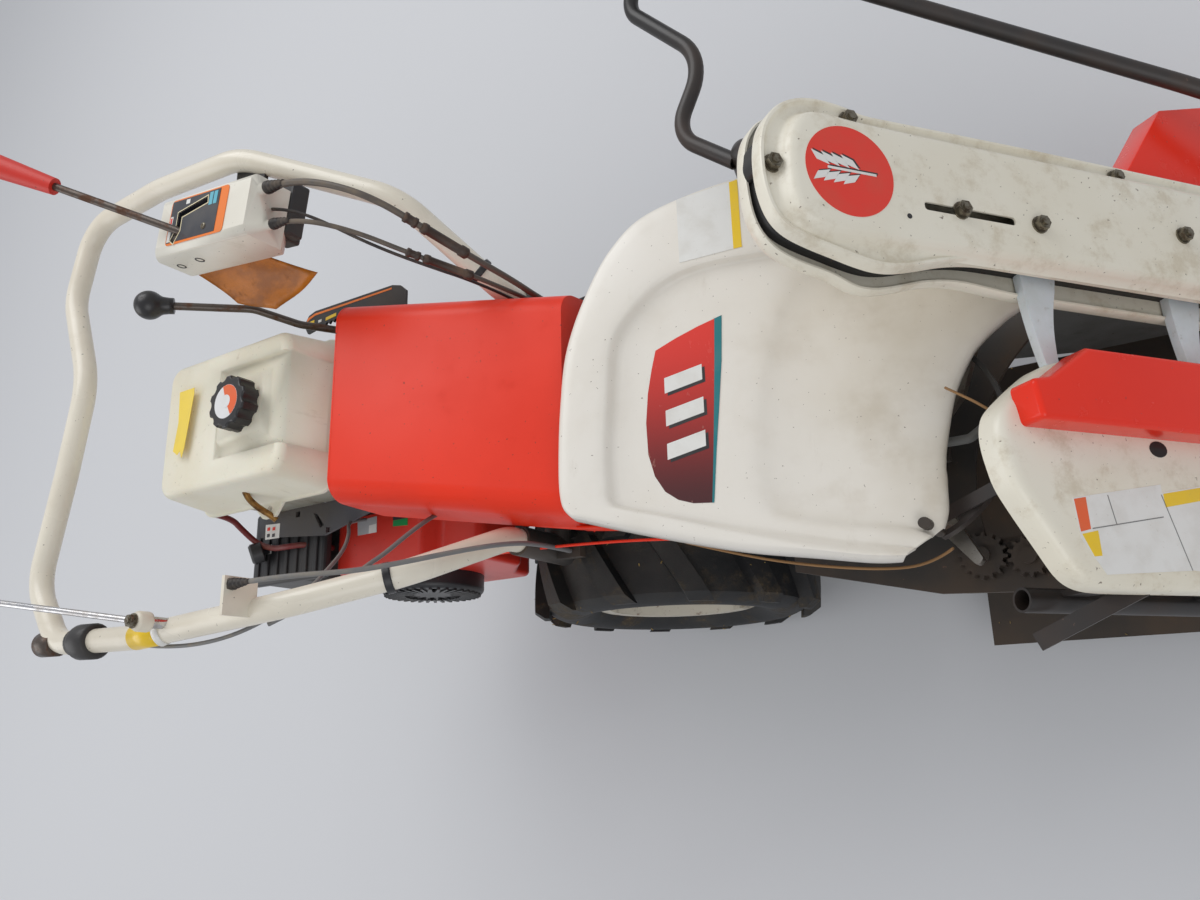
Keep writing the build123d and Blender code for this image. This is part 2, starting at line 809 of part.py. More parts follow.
def knotter_deck():
    """Dark deck plate under the knotter cover, following the throat."""
    outline = Polygon(
        (deck_rear_x, 85), (470, 85), (540, -10), (540, -238), (470, -238), (545, -250),
        (545, -316), (400, -306), (226, -262), (226, gear_right_y), (gearbox_front_x, gear_right_y),
        (gearbox_front_x, gear_left_y), (deck_rear_x, gear_left_y), align=None,
    )
    horn = Pos(480, -285) * Rectangle(190, 68)
    outline -= Pos(throat_x, throat_y + 10) * Circle(throat_radius + 12) - horn
    outline = outline.faces().sort_by(SortBy.AREA)[-1]
    plate = top_plate(Sketch() + outline, deck_z, deck_z + deck_sheet)
    return plate + upright(shaft_x, shaft_y, deck_z, deck_z + deck_sheet + 22, 26)


def cover_posts():
    """Posts from the deck up to the cover's underside, with the knotter's bridge plate."""
    roof = cover_plane * (Pos(150, 0, 200 - cover_trough - cover_sheet) * Box(1400, 900, 400))
    posts = upright(236, -226, deck_z + deck_sheet, 640, 8)
    for x, y in [(160, wheel_middle_y), (300, 60), (383, 24)]:
        posts += upright(x, y, deck_z + deck_sheet, 640, 8)
    posts += upright(434, -256, bridge_top_z + guide_height, 640, 6)
    bridge = block(372, 450, -178, 34, bridge_top_z - 6, bridge_top_z)
    return posts - roof + bridge - upright(shaft_x, shaft_y, 380, 420, shaft_radius)


def knotter_shaft():
    """Upright shaft that the discharge arms turn on, with a collar under the bridge."""
    foot = deck_z + deck_sheet + 22
    shaft = upright(shaft_x, shaft_y, foot, 432, shaft_radius)
    return shaft + upright(shaft_x, shaft_y, 400, 412, shaft_radius + 7)


def knotter():
    """Knotter head: cast bracket, bill hook and cam disc over the throat edge."""
    head = block(420, 446, -176, -106, 400, 440)
    head += Pos(436, -141, 423) * Rot(Y=90) * Cylinder(17, 28)
    hook = tube([(436, -160, 408), (474, -160, 408), (488, -148, 400)], [8], 5)
    return head + hook


def discharge_arms():
    """Three curved arms on a hub that throw the tied bundle out."""
    hub = upright(shaft_x, shaft_y, deck_z + deck_sheet + 22.3, 393, 24)
    blade = Polygon(
        (0, -15), (arm_reach * 0.55, -17), (arm_reach, 6), (arm_reach - 4, 15), (arm_reach * 0.5, 7),
        (0, 15), align=None,
    )
    blade = fillet(blade.vertices(), 4)
    for index in range(arm_count):
        turned = Rot(Z=arm_rest_angle + 360 * index / arm_count) * blade
        hub += top_plate(Pos(shaft_x, shaft_y) * turned, arm_z, arm_z + arm_thickness)
    return hub - upright(shaft_x, shaft_y, 300, 420, shaft_radius + shaft_clearance)


def bundle_guide():
    """Bowed strap in front of the knotter that the bundle forms against."""
    centre_x, radius = 392.0, 124.0
    ring = Pos(centre_x, -146) * (Circle(radius) - Circle(radius - 5))
    sector = Polygon((centre_x, -146), (centre_x + 140, 240), (centre_x + 140, -532), align=None)
    return top_plate(ring & sector, bridge_top_z, bridge_top_z + guide_height)


def knotter_gears():
    """Two gears on the deck's right horn, turned so that their teeth mesh."""
    z0 = deck_z + deck_sheet
    tooth = Polygon((-1, -2.6), (4.6, -1.3), (4.6, 1.3), (-1, 2.6), align=None)
    gears = None
    # x, y, root radius, teeth, turn of the first tooth
    for x, y, root, teeth, turn in [(452, -270, 22, 16, -7), (500, -276, 18, 13, 173 + 180 / 13)]:
        wheel = Circle(root)
        for index in range(teeth):
            wheel += Rot(Z=turn + 360 * index / teeth) * Pos(root) * tooth
        gear = Pos(x, y) * top_plate(wheel, z0, z0 + 14) + upright(x, y, z0, z0 + 20, 9)
        gears = gear if gears is None else gears + gear
    return gears


def needle():
    """Curved needle arm parked under the deck."""
    ring = Circle(250) - Circle(232)
    sector = Polygon((0, 0), (-420, 150), (-420, -250), align=None)
    arm = Pos(600, -150) * (ring & sector)
    boss = upright(356, -150, deck_z - 30, deck_z, 18)
    return top_plate(arm, deck_z - 26, deck_z - 12) + boss


def case_outline(inset, with_bulge=False):
    """Raising case outline with a round head, in slope coordinates."""
    half = case_width / 2 - inset
    foot = case_foot_u - max(inset, 0)
    outline = Pos((case_head_u + foot) / 2, case_v) * Rectangle(foot - case_head_u, 2 * half)
    outline += Pos(case_head_u, case_v) * Circle(half)
    if with_bulge:
        outline += Pos(case_bulge_u, case_bulge_v) * Circle(case_bulge_radius - inset)
    return outline


def case_front_form(inset):
    """The front cover's form, with its chamfered rim, shrunk by an inset."""
    top = -inset
    step = top - case_rim_height
    base = slope_plate(case_outline(inset, True), -case_front_depth, step)
    low = slope_plane * (Pos(0, 0, step) * case_outline(case_rim_step + inset))
    high = slope_plane * (Pos(0, 0, top) * case_outline(case_rim_inset + inset))
    return base + loft([low.faces()[0], high.faces()[0]], ruled=True)


def case_front():
    """White front cover of the raising case, raised in the middle and slotted."""
    cover = case_front_form(0) - case_front_form(case_sheet)
    slot = Pos(case_slot_u, case_slot_v) * SlotOverall(case_slot_length, case_slot_width)
    return cover - slope_plate(slot, -case_sheet - 4, 2)


def case_sprockets():
    """Sprockets at the head and foot that the lug chain runs round."""
    floor = -case_front_depth - case_gap - case_rear_depth + case_sheet
    middle = -case_front_depth - case_gap / 2
    wheels = None
    for u in (sprocket_head_u, sprocket_foot_u):
        wheel = slope_bar(u, case_v, middle - 4, middle + 4, sprocket_radius)
        wheel += slope_bar(u, case_v, floor, middle, 13)
        wheels = wheel if wheels is None else wheels + wheel
    return wheels


def case_rear():
    """Rear shell of the raising case, larger than the cover, with posts that carry it."""
    n1 = -case_front_depth - case_gap
    n0 = n1 - case_rear_depth
    outer = slope_plate(case_outline(-case_rear_grow, True), n0, n1)
    inner = slope_plate(case_outline(case_sheet - case_rear_grow, True), n0 + case_sheet, n1 + 1)
    shell = outer - inner
    for u in (-340, -60, 150):
        shell += slope_bar(u, case_v, n0 + 1, -case_sheet, 11)
    return shell + case_sprockets()


def lug_outline():
    """Horn-shaped nylon lug pointing to the right from the chain."""
    root = case_v - sprocket_radius - 4
    tip = case_v - case_width / 2 - lug_length
    half = lug_root_width / 2
    return make_face([
        Line((-half, root), (half, root)),
        Line((half, root), (half - 6, root - 30)),
        ThreePointArc((half - 6, root - 30), (half - 14, (root + tip) / 2), (half - 12, tip)),
        Line((half - 12, tip), (half - 24, tip + 4)),
        ThreePointArc((half - 24, tip + 4), (-half + 4, (root + tip) / 2 + 10), (-half, root)),
    ])


def raising_lugs():
    """Chain loop with the nylon lugs that lift the crop."""
    middle = -case_front_depth - case_gap / 2
    inner = sprocket_radius + chain_clearance
    loop = None
    for radius, sign in ((inner + chain_width, 1), (inner, -1)):
        length = sprocket_foot_u - sprocket_head_u
        belt = Pos((sprocket_head_u + sprocket_foot_u) / 2, case_v) * SlotCenterToCenter(length, 2 * radius)
        loop = belt if loop is None else loop - belt
    chain = slope_plate(loop, middle - lug_thickness / 2, middle + lug_thickness / 2)
    for index in range(3):
        lug = Pos(lug_first_u + lug_pitch * index, 0) * lug_outline()
        chain += slope_plate(lug, middle - lug_thickness / 2, middle + lug_thickness / 2)
    return chain


def nose(sections):
    """A nose cone through rounded sections given as x, right y, left y, low z, high z."""
    faces = []
    for x, y0, y1, z0, z1 in sections:
        corner = min(y1 - y0, z1 - z0) * 0.3
        plane = Plane((x, (y0 + y1) / 2, (z0 + z1) / 2), x_dir=(0, 1, 0), z_dir=(1, 0, 0))
        faces.append(plane * RectangleRounded(y1 - y0, z1 - z0, corner))
    return loft(faces, ruled=True)


def hollow_nose(sections):
    """A nose cone of sheet metal, open at its rear end."""
    inner = [
        (x + 1 if index else x - 1, y0 + nose_sheet, y1 - nose_sheet, z0 + nose_sheet, z1 - nose_sheet)
        for index, (x, y0, y1, z0, z1) in enumerate(sections[:-1])
    ]
    return nose(sections) - nose(inner)


def left_divider():
    """Pointed divider below the raising case."""
    # x, right y, left y, low z, high z
    cone = hollow_nose([
        (800, -44, 94, 80, 190),
        (880, -44, 94, 56, 150),
        (1030, -6, 52, 28, 84),
        (1190, 12, 32, 8, 28),
    ])
    return cone - slope_block(-200, case_foot_u, -400, 400, -400, 300)


def right_divider():
    """Pointed divider below the right-hand guard."""
    # x, right y, left y, low z, high z
    cone = hollow_nose([
        (800, -333, -119, 86, 192),
        (870, -325, -122, 80, 150),
        (1020, -285, -172, 28, 96),
        (1170, -242, -220, 8, 30),
    ])
    return cone - slope_block(-200, guard_foot_u, -400, 400, -400, 300)


def skid(y0, y1):
    """Curved ground shoe with a rib up to the cutter beam."""
    sheet = 6
    shoe = side_plate([(748, 0), (950, 0), (1010, 16), (1008, 22), (948, sheet), (748, sheet)], y0, y1)
    rib_y = (y0 + y1) / 2
    rib = [(748, sheet - 1), (900, sheet - 1), (778, beam_bottom_z), (748, beam_bottom_z)]
    return shoe + side_plate(rib, rib_y - 4, rib_y + 4)


def right_guard():
    """Red guard box along the right of the crop lane, with a chamfered tail."""
    outline = Polygon(
        (guard_foot_u, guard_left_v), (guard_tail_u + 70, guard_left_v),
        (guard_tail_u + 22, guard_left_v - 33), (guard_tail_u, (guard_left_v + guard_right_v) / 2),
        (guard_tail_u + 6, guard_right_v), (guard_foot_u, guard_right_v), align=None,
    )
    outline = fillet(outline.vertices().group_by(Axis.X)[0:4][0] + outline.vertices().group_by(Axis.X)[1], 6)
    body = top_plate(outline, -guard_height, 0)
    body = fillet(body.faces().sort_by(Axis.Z)[-1].edges(), 5)
    inner = top_plate(offset(outline, -3), -guard_height - 1, -3)
    return on_slope(body - inner)


def plate_outline(inset=0):
    """Right-hand cover outline with its slanted rounded tail."""
    outline = Polygon(
        (guard_foot_u, plate_left_v), (plate_tail_u + 45, plate_left_v), (plate_tail_u, plate_left_v - 60),
        (plate_tail_u, plate_left_v - 78), (plate_tail_u + 74, plate_right_v),
        (guard_foot_u, plate_right_v), align=None,
    )
    corners = outline.vertices().sort_by(Axis.X)[:-2]
    outline = fillet(corners, 22)
    return offset(outline, -inset) if inset else outline


def right_cover():
    """White cover plate with a skirt down its right edge and tail."""
    top = -guard_height
    plate = slope_plate(plate_outline(), top - plate_sheet, top)
    skirt = slope_plate(plate_outline() - plate_outline(plate_sheet), top - plate_skirt, top - plate_sheet)
    lane = slope_block(-400, 400, plate_left_v - 60, plate_left_v + 1, top - 60, top - plate_sheet)
    foot = slope_block(guard_foot_u - 5, guard_foot_u + 1, -400, 0, top - 60, top - plate_sheet)
    return plate + (skirt - lane - foot)


def right_frame():
    """Tube and cross plates that carry the right-hand cover, star wheel and springs."""
    top = -guard_height - plate_sheet
    frame = on_slope(tube([(-170, -334, -frame_drop), (300, -334, -frame_drop)], [], frame_radius, 2.5))
    frame += slope_block(-168, star_u, -300, -280, top - 6, top)
    # middle of a cross plate, its left end, middle of its upright
    for cross_u, left_v, upright_u in ((-165, -153, -115), (star_u, -128, star_u)):
        frame += slope_block(cross_u - 15, cross_u + 15, -286, left_v, top - 6, top)
        frame += slope_block(upright_u - 15, upright_u + 15, -331, -290, top - 6, top)
        frame += slope_block(upright_u - 15, upright_u + 15, -331, -325, 8 - frame_drop, top)
    return frame - block(600, 900, -400, 0, -50, platform_z + platform_sheet) + star_pin()


def star_pin():
    """Pin under the cross plate that the star wheel turns on."""
    top = -guard_height - plate_sheet - 6
    pin = slope_bar(star_u, star_v, -star_depth - star_thickness - 9, top, star_pin_radius)
    washer_top = -star_depth - star_thickness - 4.3
    return pin + slope_bar(star_u, star_v, washer_top - 4.7, washer_top, 15)


def star_wheel():
    """Star wheel with curved arms that rakes the stems in."""
    arm = make_face([
        Line((0, -16), (star_radius * 0.5, -15)),
        ThreePointArc((star_radius * 0.5, -15), (star_radius * 0.8, -8), (star_radius, 8)),
        Line((star_radius, 8), (star_radius - 6, 14)),
        ThreePointArc((star_radius - 6, 14), (star_radius * 0.7, 8), (star_radius * 0.4, 14)),
        Line((star_radius * 0.4, 14), (0, 16)),
        Line((0, 16), (0, -16)),
    ])
    star = Circle(30) + [Rot(Z=360 * index / star_arms) * arm for index in range(star_arms)]
    wheel = extrude(Pos(0, 0, -star_depth - star_thickness) * star, star_thickness)
    wheel += upright(0, 0, -star_depth - star_thickness - 4, -star_depth + 8, 20)
    wheel -= upright(0, 0, -200, 0, star_pin_radius + star_clearance)
    return on_slope(Pos(star_u, star_v) * wheel)


def flat_spring(start, end, height):
    """A flat black spring bar on edge between two points."""
    path = Line(start, end)
    section = Plane(path @ 0, z_dir=path % 0) * Rectangle(height, 4)
    return sweep(section, path)


def bundle_springs():
    """Flat spring bars: one holds the bundle back, one guides it away on the right."""
    bar = flat_spring((404, -252, 409), (596, -187, 446), 14)
    tab = slope_block(-170, -152, -212, -190, -92, -guard_height - plate_sheet - 6)
    outlet = flat_spring((509, -374, 396), (617, -326, 402), 18)
    return bar + tab + (outlet - slope_block(-400, 200, plate_right_v, 0, -200, 200))


def left_guard():
    """Red flared guard on the left of the raising case."""
    v0 = case_v + case_width / 2 + case_rear_grow
    outline = Polygon(
        (-52, v0), (-40, v0 + 16), (24, v0 + 102), (90, v0 + 120), (250, v0 + 112),
        (case_foot_u, v0 + 60), (case_foot_u, v0), align=None,
    )
    body = slope_plate(outline, -64, -28)
    return body - slope_plate(offset(outline, -3), -65, -31)


def post_form(wall=0):
    """The bent tube of the left post, solid without a wall."""
    points = [(240, 72, deck_z + 14), (240, 176, 330), (300, 184, 560), (392, 92, 600)]
    return tube(points, [40, 60], post_radius, wall)


def left_post():
    """Post from the drive case up to the head of the raising case."""
    floor = -case_front_depth - case_gap - case_rear_depth
    post = post_form(2.5)
    pad = slope_block(-428, -352, 50, 98, floor - 6, floor)
    foot = block(220, 264, 50, 85, deck_z + deck_sheet, deck_z + deck_sheet + 30)
    post -= slope_block(-600, 0, -100, 300, floor - 0.5, 100)
    post -= block(180, 290, 0, 200, 280, deck_z + deck_sheet)
    return post + pad + foot


def guard_rail():
    """Black crop guard tube, out from the post and forward to the left divider."""
    points = [
        (288, 176, 540), (215, 236, 545), (262, 325, 548), (150, 448, 556), (250, 480, 585),
        (742, 204, 330), (940, 120, 150), (1010, 30, 62),
    ]
    rail = tube(points, [40, 60, 24, 60, 200, 40], rail_tube_radius, rail_tube_wall)
    return (rail - post_form() - left_divider()).solids().sort_by(SortBy.VOLUME)[-1]


def handlebar(wall=bar_wall):
    """Ivory handlebar, one bent tube from socket to socket."""
    points = [
        (socket_x, socket_right_y, socket_floor_z), (socket_x, socket_right_y, socket_top_z + 18),
        (-80, -274, 672), (-190, -306, 746), (-440, -325, 766), (-600, -322, 775), (-668, -240, 775),
        (-634, -90, 775), (-612, 40, 775), (-676, 180, 775), (-648, 296, 775), (-495, 307, 770),
        (-330, 302, 758), (-118, 208, 672), (socket_x, socket_left_y, socket_top_z + 24),
        (socket_x, socket_left_y, socket_floor_z),
    ]
    bends = [60, 90, 120, 300, 60, 70, 160, 120, 70, 60, 200, 120, 110, 60]
    return tube(points, bends, bar_radius, wall)


def handlebar_with_tab():
    """The handlebar with the welded tab for its side cable."""
    return handlebar() + (side_tab() - handlebar(0))


def handle_mount():
    """Cross tube on the gearbox with a socket for each end of the handlebar."""
    mount = along_y(socket_x, cross_tube_z, socket_right_y, socket_left_y, cross_tube_radius)
    bore = bar_radius + socket_clearance
    for y in (socket_left_y, socket_right_y):
        mount += upright(socket_x, y, cross_tube_z - cross_tube_radius, socket_top_z, bore + socket_wall)
        mount -= upright(socket_x, y, socket_floor_z, socket_top_z + 1, bore)
    mount += block(socket_x - 24, socket_x + 26, gear_right_y, gear_left_y, gearbox_top_z, cross_tube_z - 6)
    for y0, y1 in ((anchor_left_y - 9, anchor_left_y + 9), (anchor_right_y - 8, anchor_right_y + 8)):
        mount += block(socket_x + bore, anchor_x + 9, y0, y1, anchor_z - 12, anchor_z)
    return mount


def control_box():
    """White control box beside the left of the handlebar."""
    body = Box(box_length, 78, 74)
    across = body.edges().filter_by(Axis.Y).sort_by(Axis.X)
    body = chamfer(across[:1] + across[-1:], 18)
    body = fillet(body.edges().filter_by(Axis.X), 10)
    slot = Pos(-22, -18, 30) * Box(64, 14, 40)
    gate = tube([lever_base, lever_base + lever_way * 80], [], lever_radius + 2)
    for y, z, radius in box_ferrules:
        ferrule = Rot(Y=90) * Cylinder(radius, box_ferrule_length + 1)
        body += Pos((box_length + box_ferrule_length - 1) / 2, y, z) * ferrule
    return box_place * (body - slot) - gate


def box_exit(index):
    """Middle of a ferrule's front face, where its cable leaves the control box."""
    y, z, radius = box_ferrules[index]
    return (box_place * Pos(box_length / 2 + box_ferrule_length, y, z)).position


def upper_box_cable():
    """Cable from the control box's upper ferrule over the left tube and down beside the hood."""
    start = box_exit(0)
    return cord("upper_box_cable", [
        start, start + box_forward * 42, (-104, 163, 795), (-54, 138, 770), (-27, 115, 716),
        (-10, 100, 650), (-2, 94, 585), (anchor_x, anchor_left_y, 525), (anchor_x, anchor_left_y, anchor_z),
    ], box_cable_radius)


def lower_box_cable():
    """Cable from the control box's lower ferrule, under the upper one, down beside the hood."""
    start = box_exit(1)
    return cord("lower_box_cable", [
        start, start + box_forward * 42, (-112, 126, 750), (-66, 103, 695), (-34, 93, 635), (-20, 90, 580),
        (anchor_x - 12, anchor_left_y, 525), (anchor_x - 12, anchor_left_y, anchor_z),
    ], side_cable_radius)


def side_cable():
    """Cable from the tab on the handlebar's right down beside the hood."""
    return cord("side_cable", [
        side_tab_hole + Vector(side_tab_sheet / 2, 0, 0), side_tab_hole + Vector(45, 0, 0),
        (-142, -281, 768), (-98, -277, 730), (-62, -264, 684), (-36, -249, 634), (-16, -236, 582),
        (anchor_x - 6, anchor_right_y, 526), (anchor_x - 6, anchor_right_y, anchor_z),
    ], side_cable_radius)


def fuel_hose():
    """Fuel hose from below the tank's seam over the air cleaner to the carburettor."""
    return cord("fuel_hose", [
        (-548, -128, tank_seam_z - 4), (-548, -128, 572), (-562, -140, 540), (-560, -158, 512),
        (-530, -168, 506), (-494, -170, 511), (carburettor_x, -167, 495),
        (carburettor_x, -167, carburettor_top_z),
    ], hose_radius)


def control_bracket():
    """Clamp bracket from the handlebar tube to the control box."""
    return block(-350, -290, 170, 300, 741, 747) - handlebar(0)


def side_tab():
    """Tab welded on the handlebar's right side that the side cable starts from."""
    x, y, z = side_tab_hole
    return block(x - side_tab_sheet / 2, x + side_tab_sheet / 2, y - 34, y + 9, z - 34, z + 9)


def side_lever():
    """Chrome lever on a post at the handlebar's right, folded back along the tube."""
    x, y, z = side_lever_base
    post = (upright(x, y, z - 39, z - 5, 7) - handlebar(0)).solids().sort_by(Axis.Z)[-1]
    return post + upright(x, y, z - 6, z + 6, 10) + tube([side_lever_base, side_lever_tip], [], 4)


def clutch_lever():
    """Clutch lever rod with a red tapered grip."""
    return tube([lever_base, lever_base + lever_way * lever_reach], [], lever_radius)


def clutch_grip():
    """Red tapered grip on the clutch lever."""
    cone = Pos(0, 0, grip_length / 2) * Cone(11, 17, grip_length)
    return Plane(lever_base + lever_way * lever_reach, z_dir=lever_way) * cone


def shift_lever():
    """Bent gear lever with a black ball knob."""
    base_y = engine_left_y + belt_cover_depth
    foot_x, foot_z = -262, 428
    points = [
        (foot_x, base_y + 13, foot_z), (-290, 120, 490), (-384, 130, 600), (-423, 146, 652), (-507, 141, 743)
    ]
    rod = tube(points, [30, 60, 60], 5.5) + along_y(foot_x, foot_z, base_y, base_y + 20, 9)
    tip = Vector(*points[-1])
    knob = Pos(0, 0, 14) * Sphere(20) + Pos(0, 0, -6) * Cylinder(11, 24)
    return rod + Plane(tip, z_dir=tip - Vector(*points[-2])) * knob


def shift_gate():
    """Gate plate on the tank bracket that guides the gear lever."""
    plate = block(-372, hood_rear_x - 4, gate_right_y, 176, gate_z, gate_z + 4)
    plate += block(hood_rear_x - 5, -182, hood_rear_left_y + 8, 176, gate_z, gate_z + 4)
    plate -= block(-410, -338, 118, 148, gate_z - 1, gate_z + 5)
    y = gate_right_y
    return plate + block(gate_strut_x, gate_strut_x + 25, y, y + 4, tank_bottom_z, gate_z)


def build():
    """All pieces by name, in the layout frame."""
    pieces = {
        "axle": axle(),
        "gearbox": gearbox(),
        "engine_frame": engine_frame(),
        "engine_block": engine_block(),
        "fan_shroud": fan_shroud(),
        "recoil_starter": recoil_starter(),
        "starter_grip": starter_grip(),
        "belt_cover": belt_cover(),
        "muffler": muffler(),
        "air_cleaner": air_cleaner(),
        "tank_bracket": tank_bracket(),
        "fuel_tank": fuel_tank(),
        "fuel_cap": fuel_cap(),
        "fuel_hose": fuel_hose(),
        "hood": hood(),
        "hood_stay": hood_stay(),
        "knotter_cover": knotter_cover(),
        "drive_case": drive_case(),
        "cutter_beam": cutter_beam(),
        "knife": knife(),
        "platform": platform(),
        "knotter_deck": knotter_deck(),
        "cover_posts": cover_posts(),
        "knotter_shaft": knotter_shaft(),
        "knotter": knotter(),
        "discharge_arms": discharge_arms(),
        "bundle_guide": bundle_guide(),
        "knotter_gears": knotter_gears(),
        "needle": needle(),
        "case_front": case_front(),
        "case_rear": case_rear(),
        "raising_lugs": raising_lugs(),
        "left_divider": left_divider(),
        "right_divider": right_divider(),
        "left_skid": skid(0, 60),
        "right_skid": skid(-345, -285),
        "right_guard": right_guard(),
        "right_cover": right_cover(),
        "right_frame": right_frame(),
        "star_wheel": star_wheel(),
        "bundle_springs": bundle_springs(),
        "left_guard": left_guard(),
        "left_post": left_post(),
        "guard_rail": guard_rail(),
        "handlebar": handlebar_with_tab(),
        "handle_mount": handle_mount(),
        "control_box": control_box(),
        "control_bracket": control_bracket(),
        "upper_box_cable": upper_box_cable(),
        "lower_box_cable": lower_box_cable(),
        "side_cable": side_cable(),
        "side_lever": side_lever(),
        "clutch_lever": clutch_lever(),
        "clutch_grip": clutch_grip(),
        "shift_lever": shift_lever(),
        "shift_gate": shift_gate(),
    }
    for name, side in [("left", 1), ("right", -1)]:
        place = Pos(0, wheel_middle_y + side * wheel_track / 2, tyre_radius)
        turn = Rot(Z=0 if side > 0 else 180)
        pieces["rim_" + name] = place * turn * rim()
        pieces["tyre_" + name] = place * turn * tyre()
    return pieces


os.makedirs("parts", exist_ok=True)
pieces = build()
outline = Compound(children=[Compound(piece.solids()) for piece in pieces.values()]).bounding_box()
to_origin = Pos(-outline.center().X, -outline.center().Y, 0)
print("layout to origin", outline.center().X, outline.center().Y, "size", outline.size)
for name, piece in pieces.items():
    export_step(to_origin * Compound(piece.solids()), "parts/" + name + ".step")
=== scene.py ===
import math

import bmesh
import bpy
from mathutils import Matrix, Vector


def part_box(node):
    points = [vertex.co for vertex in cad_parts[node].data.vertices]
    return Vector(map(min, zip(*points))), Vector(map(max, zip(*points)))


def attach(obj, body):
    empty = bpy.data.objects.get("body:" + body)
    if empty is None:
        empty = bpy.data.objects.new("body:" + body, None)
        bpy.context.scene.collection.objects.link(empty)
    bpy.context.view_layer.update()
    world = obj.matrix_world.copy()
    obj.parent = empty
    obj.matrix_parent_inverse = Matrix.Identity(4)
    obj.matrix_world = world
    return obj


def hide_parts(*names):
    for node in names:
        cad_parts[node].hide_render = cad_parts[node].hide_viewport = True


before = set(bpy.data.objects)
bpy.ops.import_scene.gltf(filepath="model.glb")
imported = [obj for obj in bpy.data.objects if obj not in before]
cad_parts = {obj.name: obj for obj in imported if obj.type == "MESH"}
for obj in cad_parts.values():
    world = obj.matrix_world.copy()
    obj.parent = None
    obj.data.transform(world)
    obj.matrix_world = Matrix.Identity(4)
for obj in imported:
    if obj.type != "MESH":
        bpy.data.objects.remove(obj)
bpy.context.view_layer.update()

# Camera, light and floor
# A phone held over the machine's right side, looking down and back along it, on a plain pale
# floor under soft daylight. Places are given forward from the wheel axle, to the machine's left
# and up from the ground, in millimetres.
AXLE_LEFT = -71
axle_low, axle_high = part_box("axle")
axle_middle = (axle_low + axle_high) / 2


def at(forward, left, up):
    """A place on the machine in the frame's metres."""
    return Vector((axle_middle.x + forward / 1000, axle_middle.y + (left - AXLE_LEFT) / 1000, up / 1000))


CAMERA_RIGHT = Vector((0.83046, -0.02334, -0.55659))
CAMERA_UP = Vector((0.17582, 0.95904, 0.22212))
CAMERA_PLACE = at(688.4, -451.4, 1442.4)
camera_data = bpy.data.cameras.new("camera")
camera_data.lens = 29.05
camera_data.sensor_width = 36
camera_data.clip_start = 0.05
camera = bpy.data.objects.new("camera", camera_data)
bpy.context.scene.collection.objects.link(camera)
turned = Matrix((CAMERA_RIGHT, CAMERA_UP, CAMERA_RIGHT.cross(CAMERA_UP))).transposed()
camera.matrix_world = Matrix.Translation(CAMERA_PLACE) @ turned.to_4x4()
bpy.context.scene.camera = camera
bpy.context.scene.view_settings.view_transform = "Standard"

LAMP_AIM = Vector((0, 0, 0.4))
# name, place, size in metres and power in watts of each square lamp
for name, place, size, power in [
    ("daylight", (-1.2, 2.2, 3.4), 2.6, 62), ("fill", (1.6, -2.4, 2.6), 2.4, 26),
    ("rear_fill", (-3.0, -1.2, 2.2), 2.0, 18),
]:
    lamp = bpy.data.lights.new(name, "AREA")
    lamp.energy = power
    lamp.size = size
    lamp_object = bpy.data.objects.new(name, lamp)
    lamp_object.location = place
    lamp_object.rotation_euler = (LAMP_AIM - Vector(place)).to_track_quat("-Z", "Y").to_euler()
    bpy.context.scene.collection.objects.link(lamp_object)

world = bpy.data.worlds.new("sky")
bpy.context.scene.world = world
world.use_nodes = True
sky = world.node_tree
ray_kind = sky.nodes.new("ShaderNodeLightPath")
sky.nodes["Background"].inputs["Color"].default_value = (0.93, 0.95, 1.0, 1)
sky.nodes["Background"].inputs["Strength"].default_value = 0.55
seen_sky = sky.nodes.new("ShaderNodeBackground")
seen_sky.inputs["Color"].default_value = (0.86, 0.87, 0.88, 1)
sky_mix = sky.nodes.new("ShaderNodeMixShader")
sky.links.new(ray_kind.outputs["Is Camera Ray"], sky_mix.inputs[0])
sky.links.new(sky.nodes["Background"].outputs[0], sky_mix.inputs[1])
sky.links.new(seen_sky.outputs[0], sky_mix.inputs[2])
sky.links.new(sky_mix.outputs[0], sky.nodes["World Output"].inputs["Surface"])


def display(red, green, blue):
    """A colour as a screen shows it, from 0 to 255, in linear light."""
    linear = [((c / 255 + 0.055) / 1.055) ** 2.4 if c > 10 else c / 3294 for c in (red, green, blue)]
    return (*linear, 1)


def mesh_piece(name, points, faces, smooth=True):
    """A mesh object linked to the scene, in the frame's metres."""
    mesh = bpy.data.meshes.new(name)
    mesh.from_pydata([tuple(p) for p in points], [], faces)
    mesh.update()
    mesh.polygons.foreach_set("use_smooth", [smooth] * len(mesh.polygons))
    made = bpy.data.objects.new(name, mesh)
    bpy.context.scene.collection.objects.link(made)
    return made


FLOOR_REACH = 6
FLOOR_HEIGHT = -0.0005
FLOOR_SIDES = [(-1, -1), (1, -1), (1, 1), (-1, 1)]
floor_corners = [(x * FLOOR_REACH, y * FLOOR_REACH, FLOOR_HEIGHT) for x, y in FLOOR_SIDES]
floor = mesh_piece("floor", floor_corners, [(0, 1, 2, 3)])
floor_paint = bpy.data.materials.new("pale_floor")
floor_paint.use_nodes = True
floor_paint.node_tree.nodes["Principled BSDF"].inputs["Base Color"].default_value = display(206, 207, 209)
floor_paint.node_tree.nodes["Principled BSDF"].inputs["Roughness"].default_value = 0.9
floor.data.materials.append(floor_paint)

# Control cables and fuel hose
# Steel wires in black, grey and grey-brown plastic covers run from the control box and from the
# tab on the handlebar's right down to anchor blocks on the hood's mount. The fuel hose is dark red
# rubber, pushed on to the tank's spigot and the carburettor's.


